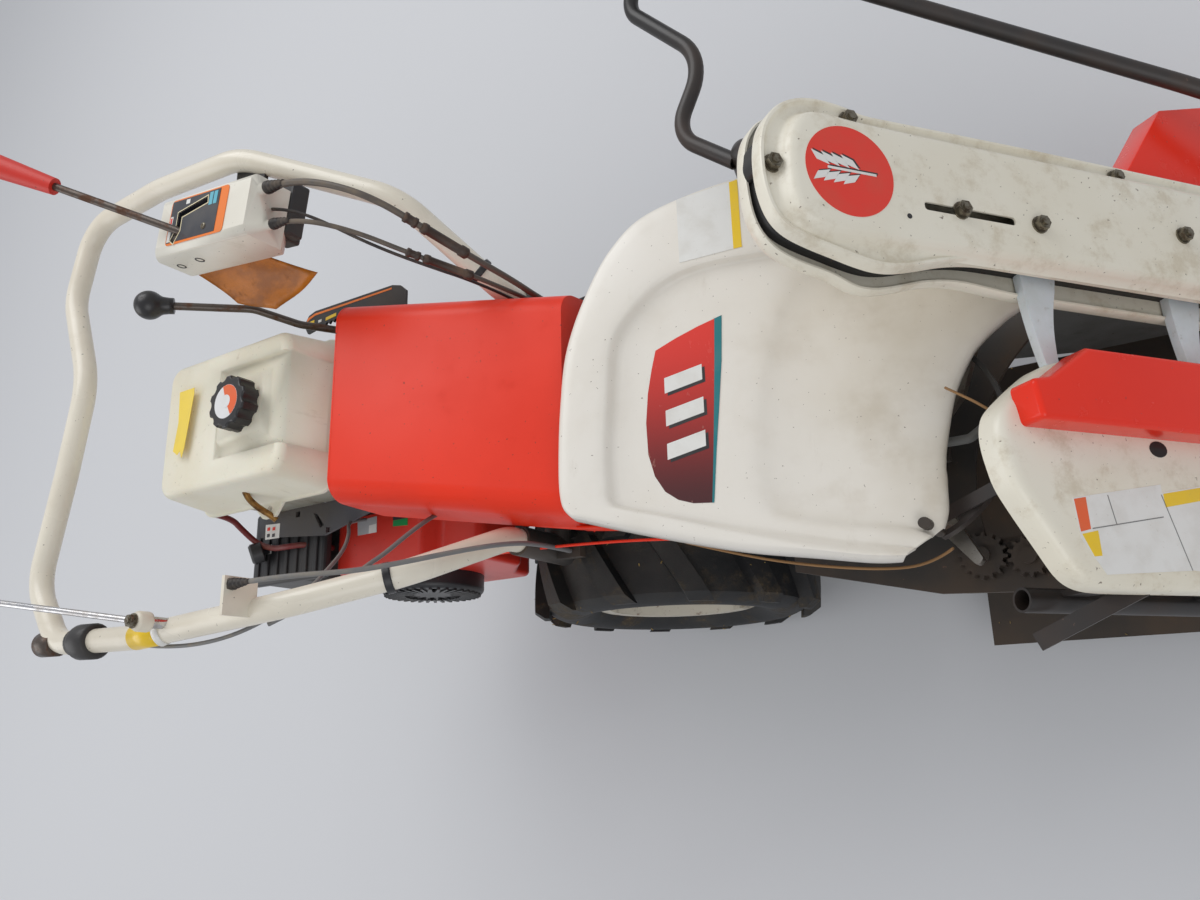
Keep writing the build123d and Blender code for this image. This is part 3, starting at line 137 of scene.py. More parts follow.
class Flow:
    """A shader value whose arithmetic adds Math nodes to its finish."""

    def __init__(self, finish, socket):
        self.finish = finish
        self.socket = socket

    def math(self, operation, *values):
        """One Math node on these values."""
        return self.finish.node("ShaderNodeMath", {"operation": operation}, dict(enumerate(values)))

    def __add__(self, other):
        return self.math("ADD", self, other)

    def __sub__(self, other):
        return self.math("SUBTRACT", self, other)

    def __rsub__(self, other):
        return self.math("SUBTRACT", other, self)

    def __mul__(self, other):
        return self.math("MULTIPLY", self, other)

    __radd__ = __add__
    __rmul__ = __mul__

    def rise(self, low, high):
        """0 below low and 1 above high, or the other way round where low is the larger."""
        ends = {"Value": self, "From Min": low, "From Max": high}
        return self.finish.node("ShaderNodeMapRange", {"interpolation_type": "SMOOTHSTEP"}, ends)


def feed(tree, socket, value):
    """Links a flow or a node's output to a socket, or sets the socket's own value."""
    value = getattr(value, "socket", value)
    if isinstance(value, bpy.types.NodeSocket):
        tree.links.new(value, socket)
    else:
        socket.default_value = value


def added(tree, kind, settings, sockets):
    """A new node with its settings made first and then its sockets' values or links."""
    made = tree.nodes.new(kind)
    for setting, value in (settings or {}).items():
        setattr(made, setting, value)
    for socket, value in (sockets or {}).items():
        feed(tree, made.inputs[socket], value)
    return made


class Finish:
    """One material, written as a recipe on Object coordinates."""

    def __init__(self, name, **fixed):
        self.material = bpy.data.materials.new(name)
        self.material.use_nodes = True
        self.tree = self.material.node_tree
        self.shader = self.tree.nodes["Principled BSDF"]
        for socket, value in fixed.items():
            self.shader.inputs[socket.replace("_", " ").title().replace("Ior", "IOR")].default_value = value
        self.place = self.node("ShaderNodeTexCoord", output="Object")

    def node(self, kind, settings=None, sockets=None, output=0):
        """A new node's output, as a value to work on."""
        return Flow(self, added(self.tree, kind, settings, sockets).outputs[output])

    def noise(self, size, detail=3.0, rough=0.55, stretch=(1, 1, 1)):
        """Noise whose blotches are about size metres across."""
        vector = self.place
        if stretch != (1, 1, 1):
            vector = self.node("ShaderNodeMapping", {}, {"Vector": self.place, "Scale": stretch})
        sockets = {"Vector": vector, "Scale": 1 / size, "Detail": detail, "Roughness": rough}
        return self.node("ShaderNodeTexNoise", {}, sockets)

    def mix(self, share, low, high):
        """A colour between two."""
        return self.node("ShaderNodeMix", {"data_type": "RGBA"}, {0: share, 6: low, 7: high}, output=2)

    def along(self, axis):
        """The place along X, Y or Z in metres."""
        return self.node("ShaderNodeSeparateXYZ", {}, {0: self.place}, output="XYZ".index(axis))

    def lying(self, low=0.3, high=0.9):
        """1 where the surface faces up, 0 where it faces sideways or down."""
        facing = self.node("ShaderNodeNewGeometry", output="Normal")
        return self.node("ShaderNodeSeparateXYZ", {}, {0: facing}, output=2).rise(low, high)

    def bump(self, height, depth, strength=1.0):
        """Sends a height to the shader's normal."""
        sockets = {"Height": height, "Distance": depth, "Strength": strength}
        feed(self.tree, self.shader.inputs["Normal"], self.node("ShaderNodeBump", {}, sockets))

    def colour(self, value):
        """Sends a colour to the shader."""
        feed(self.tree, self.shader.inputs["Base Color"], value)

    def roughness(self, value):
        """Sends a roughness to the shader."""
        feed(self.tree, self.shader.inputs["Roughness"], value)


def sheathing(name, colour, dust, gloss):
    """A cable's or hose's cover: even colour, dust that has settled on its top, faint scuffs."""
    made = Finish(name)
    colour, dust = display(*colour), display(*dust)
    settled = made.lying(0.1, 0.9) * made.noise(0.02, 4).rise(0.35, 0.7)
    scuffs = made.noise(0.003, 3, 0.7).rise(0.6, 0.75)
    shade = made.mix(settled * 0.6, colour, dust)
    made.colour(made.mix(scuffs * 0.35, shade, dust))
    made.roughness(gloss + 0.25 * settled)
    made.bump(made.noise(0.0015, 2), 0.00006)
    return made.material


def piped(name, route, diameter, fineness=10, roundness=4):
    """A curve of some diameter in millimetres that follows its route's points."""
    curve = bpy.data.curves.new(name, "CURVE")
    curve.dimensions = "3D"
    curve.resolution_u = fineness
    curve.bevel_depth = diameter / 2000
    curve.bevel_resolution = roundness
    curve.use_fill_caps = True
    spline = curve.splines.new("NURBS")
    spline.points.add(len(route) - 1)
    for point, place in zip(spline.points, route):
        point.co = (*at(*place), 1)
    spline.order_u = 3
    spline.use_endpoint_u = True
    return curve


def routed(name, route, diameter, material, length, pieces=(), in_frame=True):
    """A cord that follows its route's points and goes back into the machine at its far end."""
    curve = piped(name, route, diameter)
    curve.materials.append(material)
    made = bpy.data.objects.new(name + "_cover", curve)
    bpy.context.scene.collection.objects.link(made)
    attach(made, "chassis")
    if in_frame:
        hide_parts(name)
    tuple(at(*route[0]))
    length / 1000
    diameter / 1000


black_cover = sheathing("black_cable_cover", (38, 34, 33), (112, 98, 84), 0.5)
brown_cover = sheathing("grey_brown_cable_cover", (84, 77, 70), (128, 112, 92), 0.42)
grey_cover = sheathing("grey_cable_cover", (112, 112, 112), (150, 140, 122), 0.45)
hose_rubber = sheathing("dark_red_hose", (112, 30, 28), (120, 84, 70), 0.42)

UPPER_ROUTE = [(-200.0, 186.2, 806), (-158.4, 180.4, 806), (-104, 163, 795), (-54, 138, 770),
               (-27, 115, 716), (-10, 100, 650), (-2, 94, 585), (-4, 92, 525), (-4, 92, 458)]
LOWER_ROUTE = [(-205.6, 146.6, 790), (-164.0, 140.7, 790), (-112, 126, 750), (-66, 103, 695),
               (-34, 93, 635), (-20, 90, 580), (-16, 92, 525), (-16, 92, 458)]
SIDE_ROUTE = [(-229.5, -284, 788), (-187, -284, 788), (-142, -281, 768), (-98, -277, 730), (-62, -264, 684),
              (-36, -249, 634), (-16, -236, 582), (-10, -228, 526), (-10, -228, 458)]
HOSE_ROUTE = [(-548, -128, 606), (-548, -128, 572), (-562, -140, 540), (-560, -158, 512), (-530, -168, 506),
              (-494, -170, 511), (-461, -167, 495), (-461, -167, 450)]


def turned_on(name, start, direction, profile, material, steps=24):
    """A piece turned about a line: (distance along it, radius) pairs in millimetres, ends closed."""
    way = direction.normalized()
    side = way.orthogonal().normalized()
    other = way.cross(side)
    points, faces = [], []
    for distance, radius in profile:
        for step in range(steps):
            angle = 2 * math.pi * step / steps
            around = side * math.cos(angle) + other * math.sin(angle)
            points.append(start + way * (distance / 1000) + around * (radius / 1000))
    for ring in range(len(profile) - 1):
        for step in range(steps):
            after = (step + 1) % steps
            faces.append((ring * steps + step, ring * steps + after, (ring + 1) * steps + after,
                          (ring + 1) * steps + step))
    faces.append(tuple(reversed(range(steps))))
    faces.append(tuple((len(profile) - 1) * steps + step for step in range(steps)))
    made = mesh_piece(name, points, faces)
    made.data.materials.append(material)
    return made


def boot(name, route, radius):
    """A ribbed rubber boot where a cable leaves its housing, tapering down to the cable."""
    start, ahead = at(*route[0]), at(*route[1])
    profile = [(0.2, radius)]
    for rib in range(4):
        foot, size = 2 + 6 * rib, radius - 0.8 * rib
        profile += [(foot, size), (foot + 3, size), (foot + 4, size - 1.3), (foot + 5, size - 1.3)]
    profile.append((30, radius - 3.6))
    made = turned_on(name, start, ahead - start, profile, black_cover)
    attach(made, "chassis")
    return made


# boot and its radius, cable, route, diameter, cover, slot and length
for boot_name, boot_radius, cable, route, diameter, cover, slot, length in [
    ("upper_cable_boot", 8, "upper_box_cable", UPPER_ROUTE, 8, brown_cover, "cable_black", 486),
    ("lower_cable_boot", 7, "lower_box_cable", LOWER_ROUTE, 6, brown_cover, "cable_black", 430),
    ("side_cable_boot", 6.6, "side_cable", SIDE_ROUTE, 6, grey_cover, "cable_grey", 449),
]:
    routed(cable, route, diameter, cover, length, [boot(boot_name, route, boot_radius)])
routed("fuel_hose", HOSE_ROUTE, 9, hose_rubber, 245)


def along_route(route, share):
    """A place on a cord and the way it runs there, a share of the way along its route."""
    spans = len(route) - 2
    span = min(int(share * spans), spans - 1)
    part = share * spans - span
    first = at(*route[0]) if span == 0 else (at(*route[span]) + at(*route[span + 1])) / 2
    last = at(*route[-1]) if span == spans - 1 else (at(*route[span + 1]) + at(*route[span + 2])) / 2
    knee = at(*route[span + 1])
    place = first * (1 - part) ** 2 + knee * (2 * part * (1 - part)) + last * part ** 2
    return place, ((knee - first) * (1 - part) + (last - knee) * part).normalized()


def sleeve(name, route, share, profile, material):
    """A coupler or tie turned about a cord, from a share of its way on."""
    place, way = along_route(route, share)
    made = turned_on(name, place, way, profile, material, 18)
    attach(made, "chassis")
    return made


COUPLER = [(0, 4.4), (1, 6.4), (5, 6.4), (6, 5.6), (12, 5.6), (13, 6.4), (17, 6.4), (18, 4.4)]
BARREL = [(0, 4.6), (1, 6), (4, 6.8), (8, 6.8), (9, 5.8), (52, 5.8), (53, 7), (62, 7), (64, 4.8)]
brown_sleeve = sheathing("brown_rubber_sleeve", (58, 44, 36), (120, 92, 70), 0.5)
for cable, route, share, slimmer in [("upper", UPPER_ROUTE, 0.44, 0), ("lower", LOWER_ROUTE, 0.40, 0.9)]:
    for part, profile, further in [("coupler", COUPLER, 0), ("barrel", BARREL, 0.05)]:
        slimmed = [(distance, radius - slimmer) for distance, radius in profile]
        sleeve(f"{cable}_{part}", route, share + further, slimmed, brown_sleeve)

# Wheels
# Two lugged farm tyres on pressed steel rims, which turn on a solid axle. The rims are white
# enamel stained by oil and mud, and dry soil sits between the lugs.


def dress(material, *nodes):
    """Gives carried-over parts of the machine a finish."""
    for node in nodes:
        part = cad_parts[node]
        part.data.materials.clear()
        part.data.materials.append(material)


def enamel(name, paint, grime, dust=0.25, gloss=0.35, chips=0.0, metal=(92, 70, 58), peel=0.00004):
    """Old machine paint: faint cloudy stains, small dark specks, a soft orange peel and chips."""
    made = Finish(name, coat_weight=0.15, coat_roughness=0.25)
    paint, grime = display(*paint), display(*grime)
    clouds = made.noise(0.16, 4).rise(0.38, 0.75)
    stains = made.noise(0.035, 5, 0.6).rise(0.56, 0.78) * clouds
    specks = made.noise(0.004, 2, 0.4).rise(0.725, 0.78)
    shade = made.mix(clouds * dust, paint, grime)
    shade = made.mix(stains * (dust * 1.3), shade, grime)
    shade = made.mix(specks * 0.7, shade, display(70, 58, 46))
    worn = made.noise(0.011, 4, 0.65).rise(0.80 - chips, 0.83 - chips)
    if chips:
        shade = made.mix(worn, shade, display(*metal))
    made.colour(shade)
    made.roughness(gloss + 0.18 * clouds + 0.2 * stains + 0.2 * specks)
    dimples = made.noise(0.006, 2)
    made.bump(dimples - 0.6 * worn if chips else dimples, peel)
    return made.material


def layered(name, base, layers, gloss, grain=None, depth=0.0, pitted=0.0, **fixed):
    """A base colour under blotchy layers, the last of them pitted into the surface.

    A layer is its noise, the range of that noise in which it shows, its share, its colour and how
    much rougher it is than the base.
    """
    made = Finish(name, **fixed)
    shade = display(*base)
    for noise, shows, share, colour, rougher in layers:
        patch = made.noise(*noise).rise(*shows)
        shade = made.mix(patch * share, shade, display(*colour))
        if rougher:
            gloss = gloss + rougher * patch
    made.colour(shade)
    made.roughness(gloss)
    if depth:
        height = made.noise(*grain) if grain else 0
        made.bump(height - pitted * patch if pitted else height, depth)
    return made.material


rubber = Finish("soil_dusted_rubber", specular_ior_level=0.4)
soil = rubber.noise(0.05, 5, 0.65).rise(0.5, 0.72)
crumbs = rubber.noise(0.006, 4, 0.7).rise(0.52, 0.66)
dusting = rubber.noise(0.12, 3).rise(0.3, 0.7) * rubber.lying(0.0, 0.9)
side_dust = rubber.mix(dusting * 0.5, display(25, 26, 28), display(78, 74, 68))
rubber.colour(rubber.mix(soil * (0.35 + 0.5 * crumbs), side_dust, display(104, 88, 64)))
rubber.roughness(0.6 + 0.32 * soil)
rubber.bump(rubber.noise(0.004, 4, 0.7) * (0.25 + soil), 0.0012)
dress(rubber.material, "tyre_left", "tyre_right")

rim_paint = Finish("stained_rim_enamel", coat_weight=0.1)
oil = rim_paint.noise(0.06, 5, 0.6).rise(0.5, 0.68)
rust = rim_paint.noise(0.02, 5, 0.7).rise(0.58, 0.68)
flakes = rim_paint.noise(0.007, 4, 0.6).rise(0.6, 0.66)
rim_shade = rim_paint.mix(oil * 0.65, display(206, 200, 186), display(96, 82, 58))
rim_shade = rim_paint.mix(rust * 0.8, rim_shade, display(112, 66, 36))
rim_paint.colour(rim_paint.mix(flakes * oil, rim_shade, display(60, 46, 36)))
rim_paint.roughness(0.4 + 0.35 * oil + 0.2 * rust)
rim_paint.bump(rust + 0.5 * flakes, 0.0003)
dress(rim_paint.material, "rim_left", "rim_right")

bare_steel = layered("bare_steel", (176, 172, 164), [
    ((0.02, 5, 0.6), (0.45, 0.7), 0.75, (112, 80, 56), 0.4),
    ((0.003, 3, 0.6), (0.6, 0.72), 0.6, (74, 50, 36), 0.2),
], 0.28, depth=0.0001, pitted=1, metallic=1.0)
dress(bare_steel, "axle")

# Bolts and nuts
# Zinc-plated hexagon bolts with washers hold covers, guards and plates. They are set on tables
# of places, each square to the face it clamps.


def baked(piece):
    """Works a piece's modifiers into its mesh."""
    bpy.context.view_layer.update()
    piece.data = bpy.data.meshes.new_from_object(piece.evaluated_get(bpy.context.evaluated_depsgraph_get()))
    piece.modifiers.clear()
    return piece


class Tree:
    """A geometry node tree that makes like pieces."""

    def __init__(self, name, **inputs):
        self.tree = bpy.data.node_groups.new(name, "GeometryNodeTree")
        sockets = self.tree.interface
        sockets.new_socket("Geometry", in_out="INPUT", socket_type="NodeSocketGeometry")
        self.keys = {}
        for label, kind in inputs.items():
            made = sockets.new_socket(label, in_out="INPUT", socket_type="NodeSocket" + kind)
            self.keys[label] = made.identifier
        sockets.new_socket("Geometry", in_out="OUTPUT", socket_type="NodeSocketGeometry")
        self.start = self.tree.nodes.new("NodeGroupInput").outputs
        self.end = self.tree.nodes.new("NodeGroupOutput").inputs

    def node(self, kind, settings=None, sockets=None):
        """A new node's first output that its settings leave in use."""
        return next(out for out in added(self.tree, kind, settings, sockets).outputs if out.enabled)

    def times(self, value, factor):
        """A value of the tree times a number."""
        return self.node("ShaderNodeMath", {"operation": "MULTIPLY"}, {0: value, 1: factor})

    def lifted(self, geometry, height):
        """Geometry moved up Z by a value."""
        move = self.node("ShaderNodeCombineXYZ", {}, {"Z": height})
        return self.node("GeometryNodeTransform", {}, {"Geometry": geometry, "Translation": move})

    def joined(self, parts):
        """Several geometries as one."""
        made = self.tree.nodes.new("GeometryNodeJoinGeometry")
        for part in parts:
            self.tree.links.new(part, made.inputs[0])
        return made.outputs[0]

    def ends_with(self, geometry, material):
        """Ends the tree with real geometry in one material."""
        real = self.node("GeometryNodeRealizeInstances", {}, {"Geometry": geometry})
        painted = self.node("GeometryNodeSetMaterial", {}, {"Geometry": real, "Material": material})
        self.tree.links.new(painted, self.end[0])

    def grown_on(self, carrier, body, slot, **values):
        """Runs the tree on a carrier, which keeps the result as its plain mesh on a body."""
        modifier = carrier.modifiers.new("made_by", "NODES")
        modifier.node_group = self.tree
        for label, value in values.items():
            modifier[self.keys[label]] = value
        baked(carrier)
        carrier.data.polygons.foreach_set("use_smooth", [False] * len(carrier.data.polygons))
        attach(carrier, body)
        return carrier


zinc = layered("zinc_plated_steel", (134, 128, 114), [
    ((0.006, 4, 0.6), (0.4, 0.7), 0.8, (78, 62, 46), 0.4),
], 0.32, (0.002, 2), 0.00008, metallic=1.0)

bolt_tree = Tree("hexagon_bolts", across_flats="Float", head="Float")
across, head = bolt_tree.start["across_flats"], bolt_tree.start["head"]
# sides, radius as a share of the flats, height and middle as shares of the head
bolt_steps = [(20, 0.68, 0.2, 0.1), (6, 0.577, 0.75, 0.575), (16, 0.44, 0.08, 0.98), (12, 0.3, 0.3, 1.1)]
turnings = []
for sides, wide, tall, middle in bolt_steps:
    drum = bolt_tree.node("GeometryNodeMeshCylinder", {}, {
        "Vertices": sides, "Radius": bolt_tree.times(across, wide), "Depth": bolt_tree.times(head, tall),
    })
    turnings.append(bolt_tree.lifted(drum, bolt_tree.times(head, middle)))
facing = bolt_tree.node("GeometryNodeInputNamedAttribute", {"data_type": "FLOAT_VECTOR"},
                        {"Name": "facing"})
upright = bolt_tree.node("FunctionNodeAlignRotationToVector", {"axis": "Z"}, {"Vector": facing})
set_bolts = bolt_tree.node("GeometryNodeInstanceOnPoints", {}, {
    "Points": bolt_tree.start["Geometry"], "Instance": bolt_tree.joined(turnings), "Rotation": upright,
})
bolt_tree.ends_with(set_bolts, zinc)


def bolts(name, places, across_flats=0.010, head=0.006):
    """Bolts at (place, direction the head faces) pairs."""
    carrier = mesh_piece(name, [place for place, face in places], [])
    towards = carrier.data.attributes.new("facing", "FLOAT_VECTOR", "POINT")
    for index, (place, face) in enumerate(places):
        towards.data[index].vector = face.normalized()
    return bolt_tree.grown_on(carrier, "chassis", "bare_steel", across_flats=across_flats, head=head)


def skin(node, seen=None, flat=0.6):
    """A copy of a part's mesh as clean faces, only those that can be seen where a test is given."""
    made = bmesh.new()
    made.from_mesh(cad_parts[node].data)
    bmesh.ops.remove_doubles(made, verts=made.verts, dist=0.00002)
    if seen:
        unseen = [face for face in made.faces if not seen(face.calc_center_median(), face.normal)]
        bmesh.ops.delete(made, geom=unseen, context="FACES")
    sharp = math.radians(flat)
    bmesh.ops.dissolve_limit(made, angle_limit=sharp, verts=made.verts, edges=made.edges)
    return made


def round_edges(made, radius, least, steps, where):
    """Rounds the edges that turn by more than an angle, where a test on their middle allows."""
    edges = []
    for edge in made.edges:
        if len(edge.link_faces) != 2 or edge.calc_face_angle() < math.radians(least):
            continue
        middle = (edge.verts[0].co + edge.verts[1].co) / 2
        if where(middle, edge):
            edges.append(edge)
    bmesh.ops.bevel(made, geom=edges, offset=radius, offset_type="OFFSET", segments=steps, profile=0.5,
                    affect="EDGES", clamp_overlap=True)


def linked(name, mesh, material):
    """A mesh as a piece of the scene, all in one material."""
    mesh.materials.clear()
    mesh.materials.append(material)
    piece = bpy.data.objects.new(name, mesh)
    bpy.context.scene.collection.objects.link(piece)
    return piece


def skinned(made, name, node, material, wall=0.0):
    """Keeps a worked copy of a part as the piece that stands for it."""
    bmesh.ops.triangulate(made, faces=[face for face in made.faces if len(face.verts) > 4])
    mesh = bpy.data.meshes.new(name)
    made.to_mesh(mesh)
    made.free()
    piece = linked(name, mesh, material)
    mesh.polygons.foreach_set("use_smooth", [True] * len(mesh.polygons))
    mesh.set_sharp_from_angle(angle=math.radians(34))
    if wall:
        sheet = piece.modifiers.new("sheet", "SOLIDIFY")
        sheet.thickness = wall
        sheet.offset = -1
        baked(piece)
    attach(piece, "chassis")
    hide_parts(node)
    return piece


def softened(node, name, radius, least, steps, shortest, material):
    """A part's copy with its outer edges rounded, apart from very short ones."""
    work = skin(node)
    round_edges(work, radius, least, steps,
                lambda middle, edge: edge.is_convex and edge.calc_length() > shortest)
    return skinned(work, name, node, material)


# Frame, gearbox and engine
# The welded frame, cast gearbox and small air-cooled engine under the tank, greasy and dusty:
# red sheet shroud, black recoil starter, rusty silencer and a black air cleaner box.
black_paint = enamel("black_bar_paint", (36, 34, 33), (86, 62, 46), 0.4, 0.42, 0.1)
dark_steel = enamel("grimy_dark_steel", (46, 44, 42), (92, 72, 52), 0.6, 0.5, 0.12)
grey_cast = enamel("oily_grey_casting", (116, 116, 113), (60, 52, 42), 0.7, 0.5, peel=0.0002)
black_plastic = enamel("black_moulding", (30, 30, 33), (84, 78, 70), 0.32, 0.44)
shroud_red = enamel("shroud_enamel", (206, 48, 34), (110, 44, 32), 0.45, 0.36, 0.04)
rusty_iron = enamel("rusty_exhaust_iron", (98, 62, 44), (52, 38, 30), 0.8, 0.8, peel=0.0003)
dress(dark_steel, "engine_frame", "hood_stay", "cutter_beam", "platform", "knotter_deck", "cover_posts",
      "left_skid", "right_skid", "handle_mount")
dress(grey_cast, "gearbox", "engine_block", "drive_case", "knotter")
dress(black_plastic, "starter_grip", "air_cleaner")
dress(shroud_red, "fan_shroud")
dress(rusty_iron, "muffler")
dress(black_paint, "belt_cover")

# Recoil starter
# A round pressed cover with a ring of cooling slots and a raised centre, bolted to the shroud.
dress(black_plastic, "recoil_starter")
starter_low, starter_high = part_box("recoil_starter")
starter_centre = (starter_low + starter_high) / 2
STARTER_REACH = (starter_high.x - starter_low.x) / 2
RIB_WIDTH, RIB_HEIGHT = 0.0042, 0.0036
slot_tree = Tree("cooling_ribs", ribs="Int", ring="Float", length="Float")
ring = slot_tree.node("GeometryNodeMeshCircle", {}, {
    "Vertices": slot_tree.start["ribs"], "Radius": slot_tree.start["ring"],
})
rib_size = slot_tree.node("ShaderNodeCombineXYZ", {}, {
    "X": slot_tree.start["length"], "Y": RIB_WIDTH, "Z": RIB_HEIGHT,
})
rib = slot_tree.node("GeometryNodeMeshCube", {}, {"Size": rib_size})
spot = slot_tree.node("GeometryNodeInputPosition")
outward = slot_tree.node("FunctionNodeAlignRotationToVector", {"axis": "X"}, {"Vector": spot})
ribs_set = slot_tree.node("GeometryNodeInstanceOnPoints", {}, {
    "Points": ring, "Instance": rib, "Rotation": outward,
})
slot_tree.ends_with(ribs_set, black_plastic)
ribs = slot_tree.grown_on(mesh_piece("starter_ribs", [(0, 0, 0)], []), "chassis", "black_plastic",
                          ribs=36, ring=STARTER_REACH * 0.74, length=STARTER_REACH * 0.4)
RIBS_PROUD = 0.0006
ribs_middle = (starter_centre.x, starter_low.y - RIBS_PROUD, starter_centre.z)
ribs.data.transform(Matrix.Translation(ribs_middle) @ Matrix.Rotation(math.pi / 2, 4, "X"))

# Fuel tank
# A cream blow-moulded tank in two halves with a welded flange, a shallow channel and a raised
# pad round its filler. It stands on a dark grey bracket under the handlebar.
tank_plastic = Finish("cream_tank_plastic", subsurface_weight=0.04)
aged = tank_plastic.noise(0.09, 4).rise(0.35, 0.75)
streaks = tank_plastic.noise(0.012, 5, 0.65, (1, 1, 0.25)).rise(0.6, 0.8)
spots = tank_plastic.noise(0.0035, 2, 0.4).rise(0.74, 0.79)
# The tank is made darker and browner towards its bottom, in blotches.
lower_brown_darkening = tank_plastic.noise(0.03, 4, 0.6).rise(0.5, 0.8) * tank_plastic.along("Z").rise(0.62, 0.54)
tank_shade = tank_plastic.mix(aged * 0.35, display(233, 228, 209), display(214, 202, 170))
tank_shade = tank_plastic.mix(streaks * 0.3, tank_shade, display(150, 130, 96))
tank_shade = tank_plastic.mix(lower_brown_darkening * 0.6, tank_shade, display(150, 118, 66))
tank_plastic.colour(tank_plastic.mix(spots * 0.7, tank_shade, display(84, 70, 54)))
tank_plastic.roughness(0.38 + 0.2 * aged + 0.2 * streaks)
tank_plastic.bump(tank_plastic.noise(0.0025, 3) + 2 * tank_plastic.noise(0.05, 2), 0.00012)

tank_low, tank_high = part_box("fuel_tank")
TANK_ROUNDING = 0.014
EDGE_DEPTH, EDGE_REACH = 0.012, 0.03


def tank_edge(middle, edge):
    """True for the outer edges round the top of the tank."""
    inward = min(middle.x - tank_low.x, tank_high.x - middle.x, middle.y - tank_low.y,
                 tank_high.y - middle.y)
    return middle.z > tank_high.z - EDGE_DEPTH and edge.is_convex and inward < EDGE_REACH


work = skin("fuel_tank")
round_edges(work, TANK_ROUNDING, 40, 5, tank_edge)
skinned(work, "tank_moulding", "fuel_tank", tank_plastic.material)

cap_plastic = enamel("black_cap_plastic", (24, 24, 27), (90, 82, 74), 0.28, 0.36)
dress(cap_plastic, "fuel_cap")

# Hood
# A pressed sheet hood over the gearbox, in gloss orange-red enamel, with wide rounded edges and
# flared sides, and a red strip under its front edge.
hood_enamel = enamel("orange_red_enamel", (238, 52, 20), (196, 40, 20), 0.2, 0.36)
hood_enamel.node_tree.nodes["Principled BSDF"].inputs["Specular IOR Level"].default_value = 0.3
hood_low, hood_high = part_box("hood")
hood_middle = (hood_low + hood_high) / 2
HOOD_SHEET = 0.0024


def hood_seen(centre, face):
    """True for the outside of the hood's sheet."""
    away = centre - Vector((hood_middle.x, hood_middle.y, hood_low.z))
    return face.z > -0.6 and face.dot(away) > 0


work = skin("hood", hood_seen, 3)
round_edges(work, 0.012, 35, 5, lambda middle, edge: edge.is_convex and middle.z > hood_low.z + 0.02)
skinned(work, "hood_pressing", "hood", hood_enamel, wall=HOOD_SHEET)

# Knotter cover
# A dished white moulding over the knotter, with a rounded rim, a sunk middle that dips again
# towards the throat where the bundle is tied, and a skirt all round. It sits on four posts.
COVER_START = (105, 0, 605)
COVER_FALL = 0.35
COVER_STRETCH = math.hypot(1, COVER_FALL)


def on_cover(forward, left, out=0):
    """A place over the knotter cover's plane, out along its normal."""
    lean = out * COVER_FALL / COVER_STRETCH
    fall = (forward - COVER_START[0]) * COVER_FALL
    return at(forward + lean, left, COVER_START[2] - fall + out / COVER_STRETCH)


def eased_line(keys, steps):
    """A smooth line through key points, with some steps between each two."""
    last = len(keys) - 1
    line = []
    for index in range(last):
        a, b, c, d = (keys[min(max(index + shift, 0), last)] for shift in (-1, 0, 1, 2))
        for step in range(steps):
            t = step / steps
            line.append(0.5 * (2 * b + (c - a) * t + (2 * a - 5 * b + 4 * c - d) * t**2
                               + (3 * b - a - 3 * c + d) * t**3))
    return line + [keys[-1]]


def banded(name, rows, closed, material, cap_start=False, cap_end=False):
    """A surface through rows of points, each row as long as the next."""
    width = len(rows[0])
    faces = []
    for row in range(len(rows) - 1):
        for step in range(width if closed else width - 1):
            after = (step + 1) % width
            faces.append((row * width + step, row * width + after, (row + 1) * width + after,
                          (row + 1) * width + step))
    if cap_start:
        faces.append(tuple(reversed(range(width))))
    if cap_end:
        faces.append(tuple((len(rows) - 1) * width + step for step in range(width)))
    made = mesh_piece(name, [point for row in rows for point in row], faces)
    made.data.materials.append(material)
    return made


def faced_outwards(mesh, merged=0.0):
    """Turns a mesh's faces outwards, after points closer than a distance are merged."""
    work = bmesh.new()
    work.from_mesh(mesh)
    if merged:
        bmesh.ops.remove_doubles(work, verts=work.verts, dist=merged)
    bmesh.ops.recalc_face_normals(work, faces=work.faces)
    work.to_mesh(mesh)
    work.free()


def settled(piece, wall=0.0, finer=0):
    """Ends a piece's mesh: faces outwards, finer faces and a wall of some thickness."""
    faced_outwards(piece.data, 0.00002)
    if finer:
        divided = piece.modifiers.new("finer", "SUBSURF")
        divided.levels = divided.render_levels = finer
    if wall:
        sheet = piece.modifiers.new("wall", "SOLIDIFY")
        sheet.thickness = wall
        sheet.offset = -1
    return baked(piece)


def formed(name, rows, closed, material, node=None, wall=0.0, finer=0, caps=(False, False), crease=0):
    """A banded surface as a piece of the chassis, in place of a part where one is named."""
    made = settled(banded(name, rows, closed, material, *caps), wall, finer)
    if crease:
        made.data.set_sharp_from_angle(angle=math.radians(crease))
    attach(made, "chassis")
    if node:
        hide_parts(node)
    return made


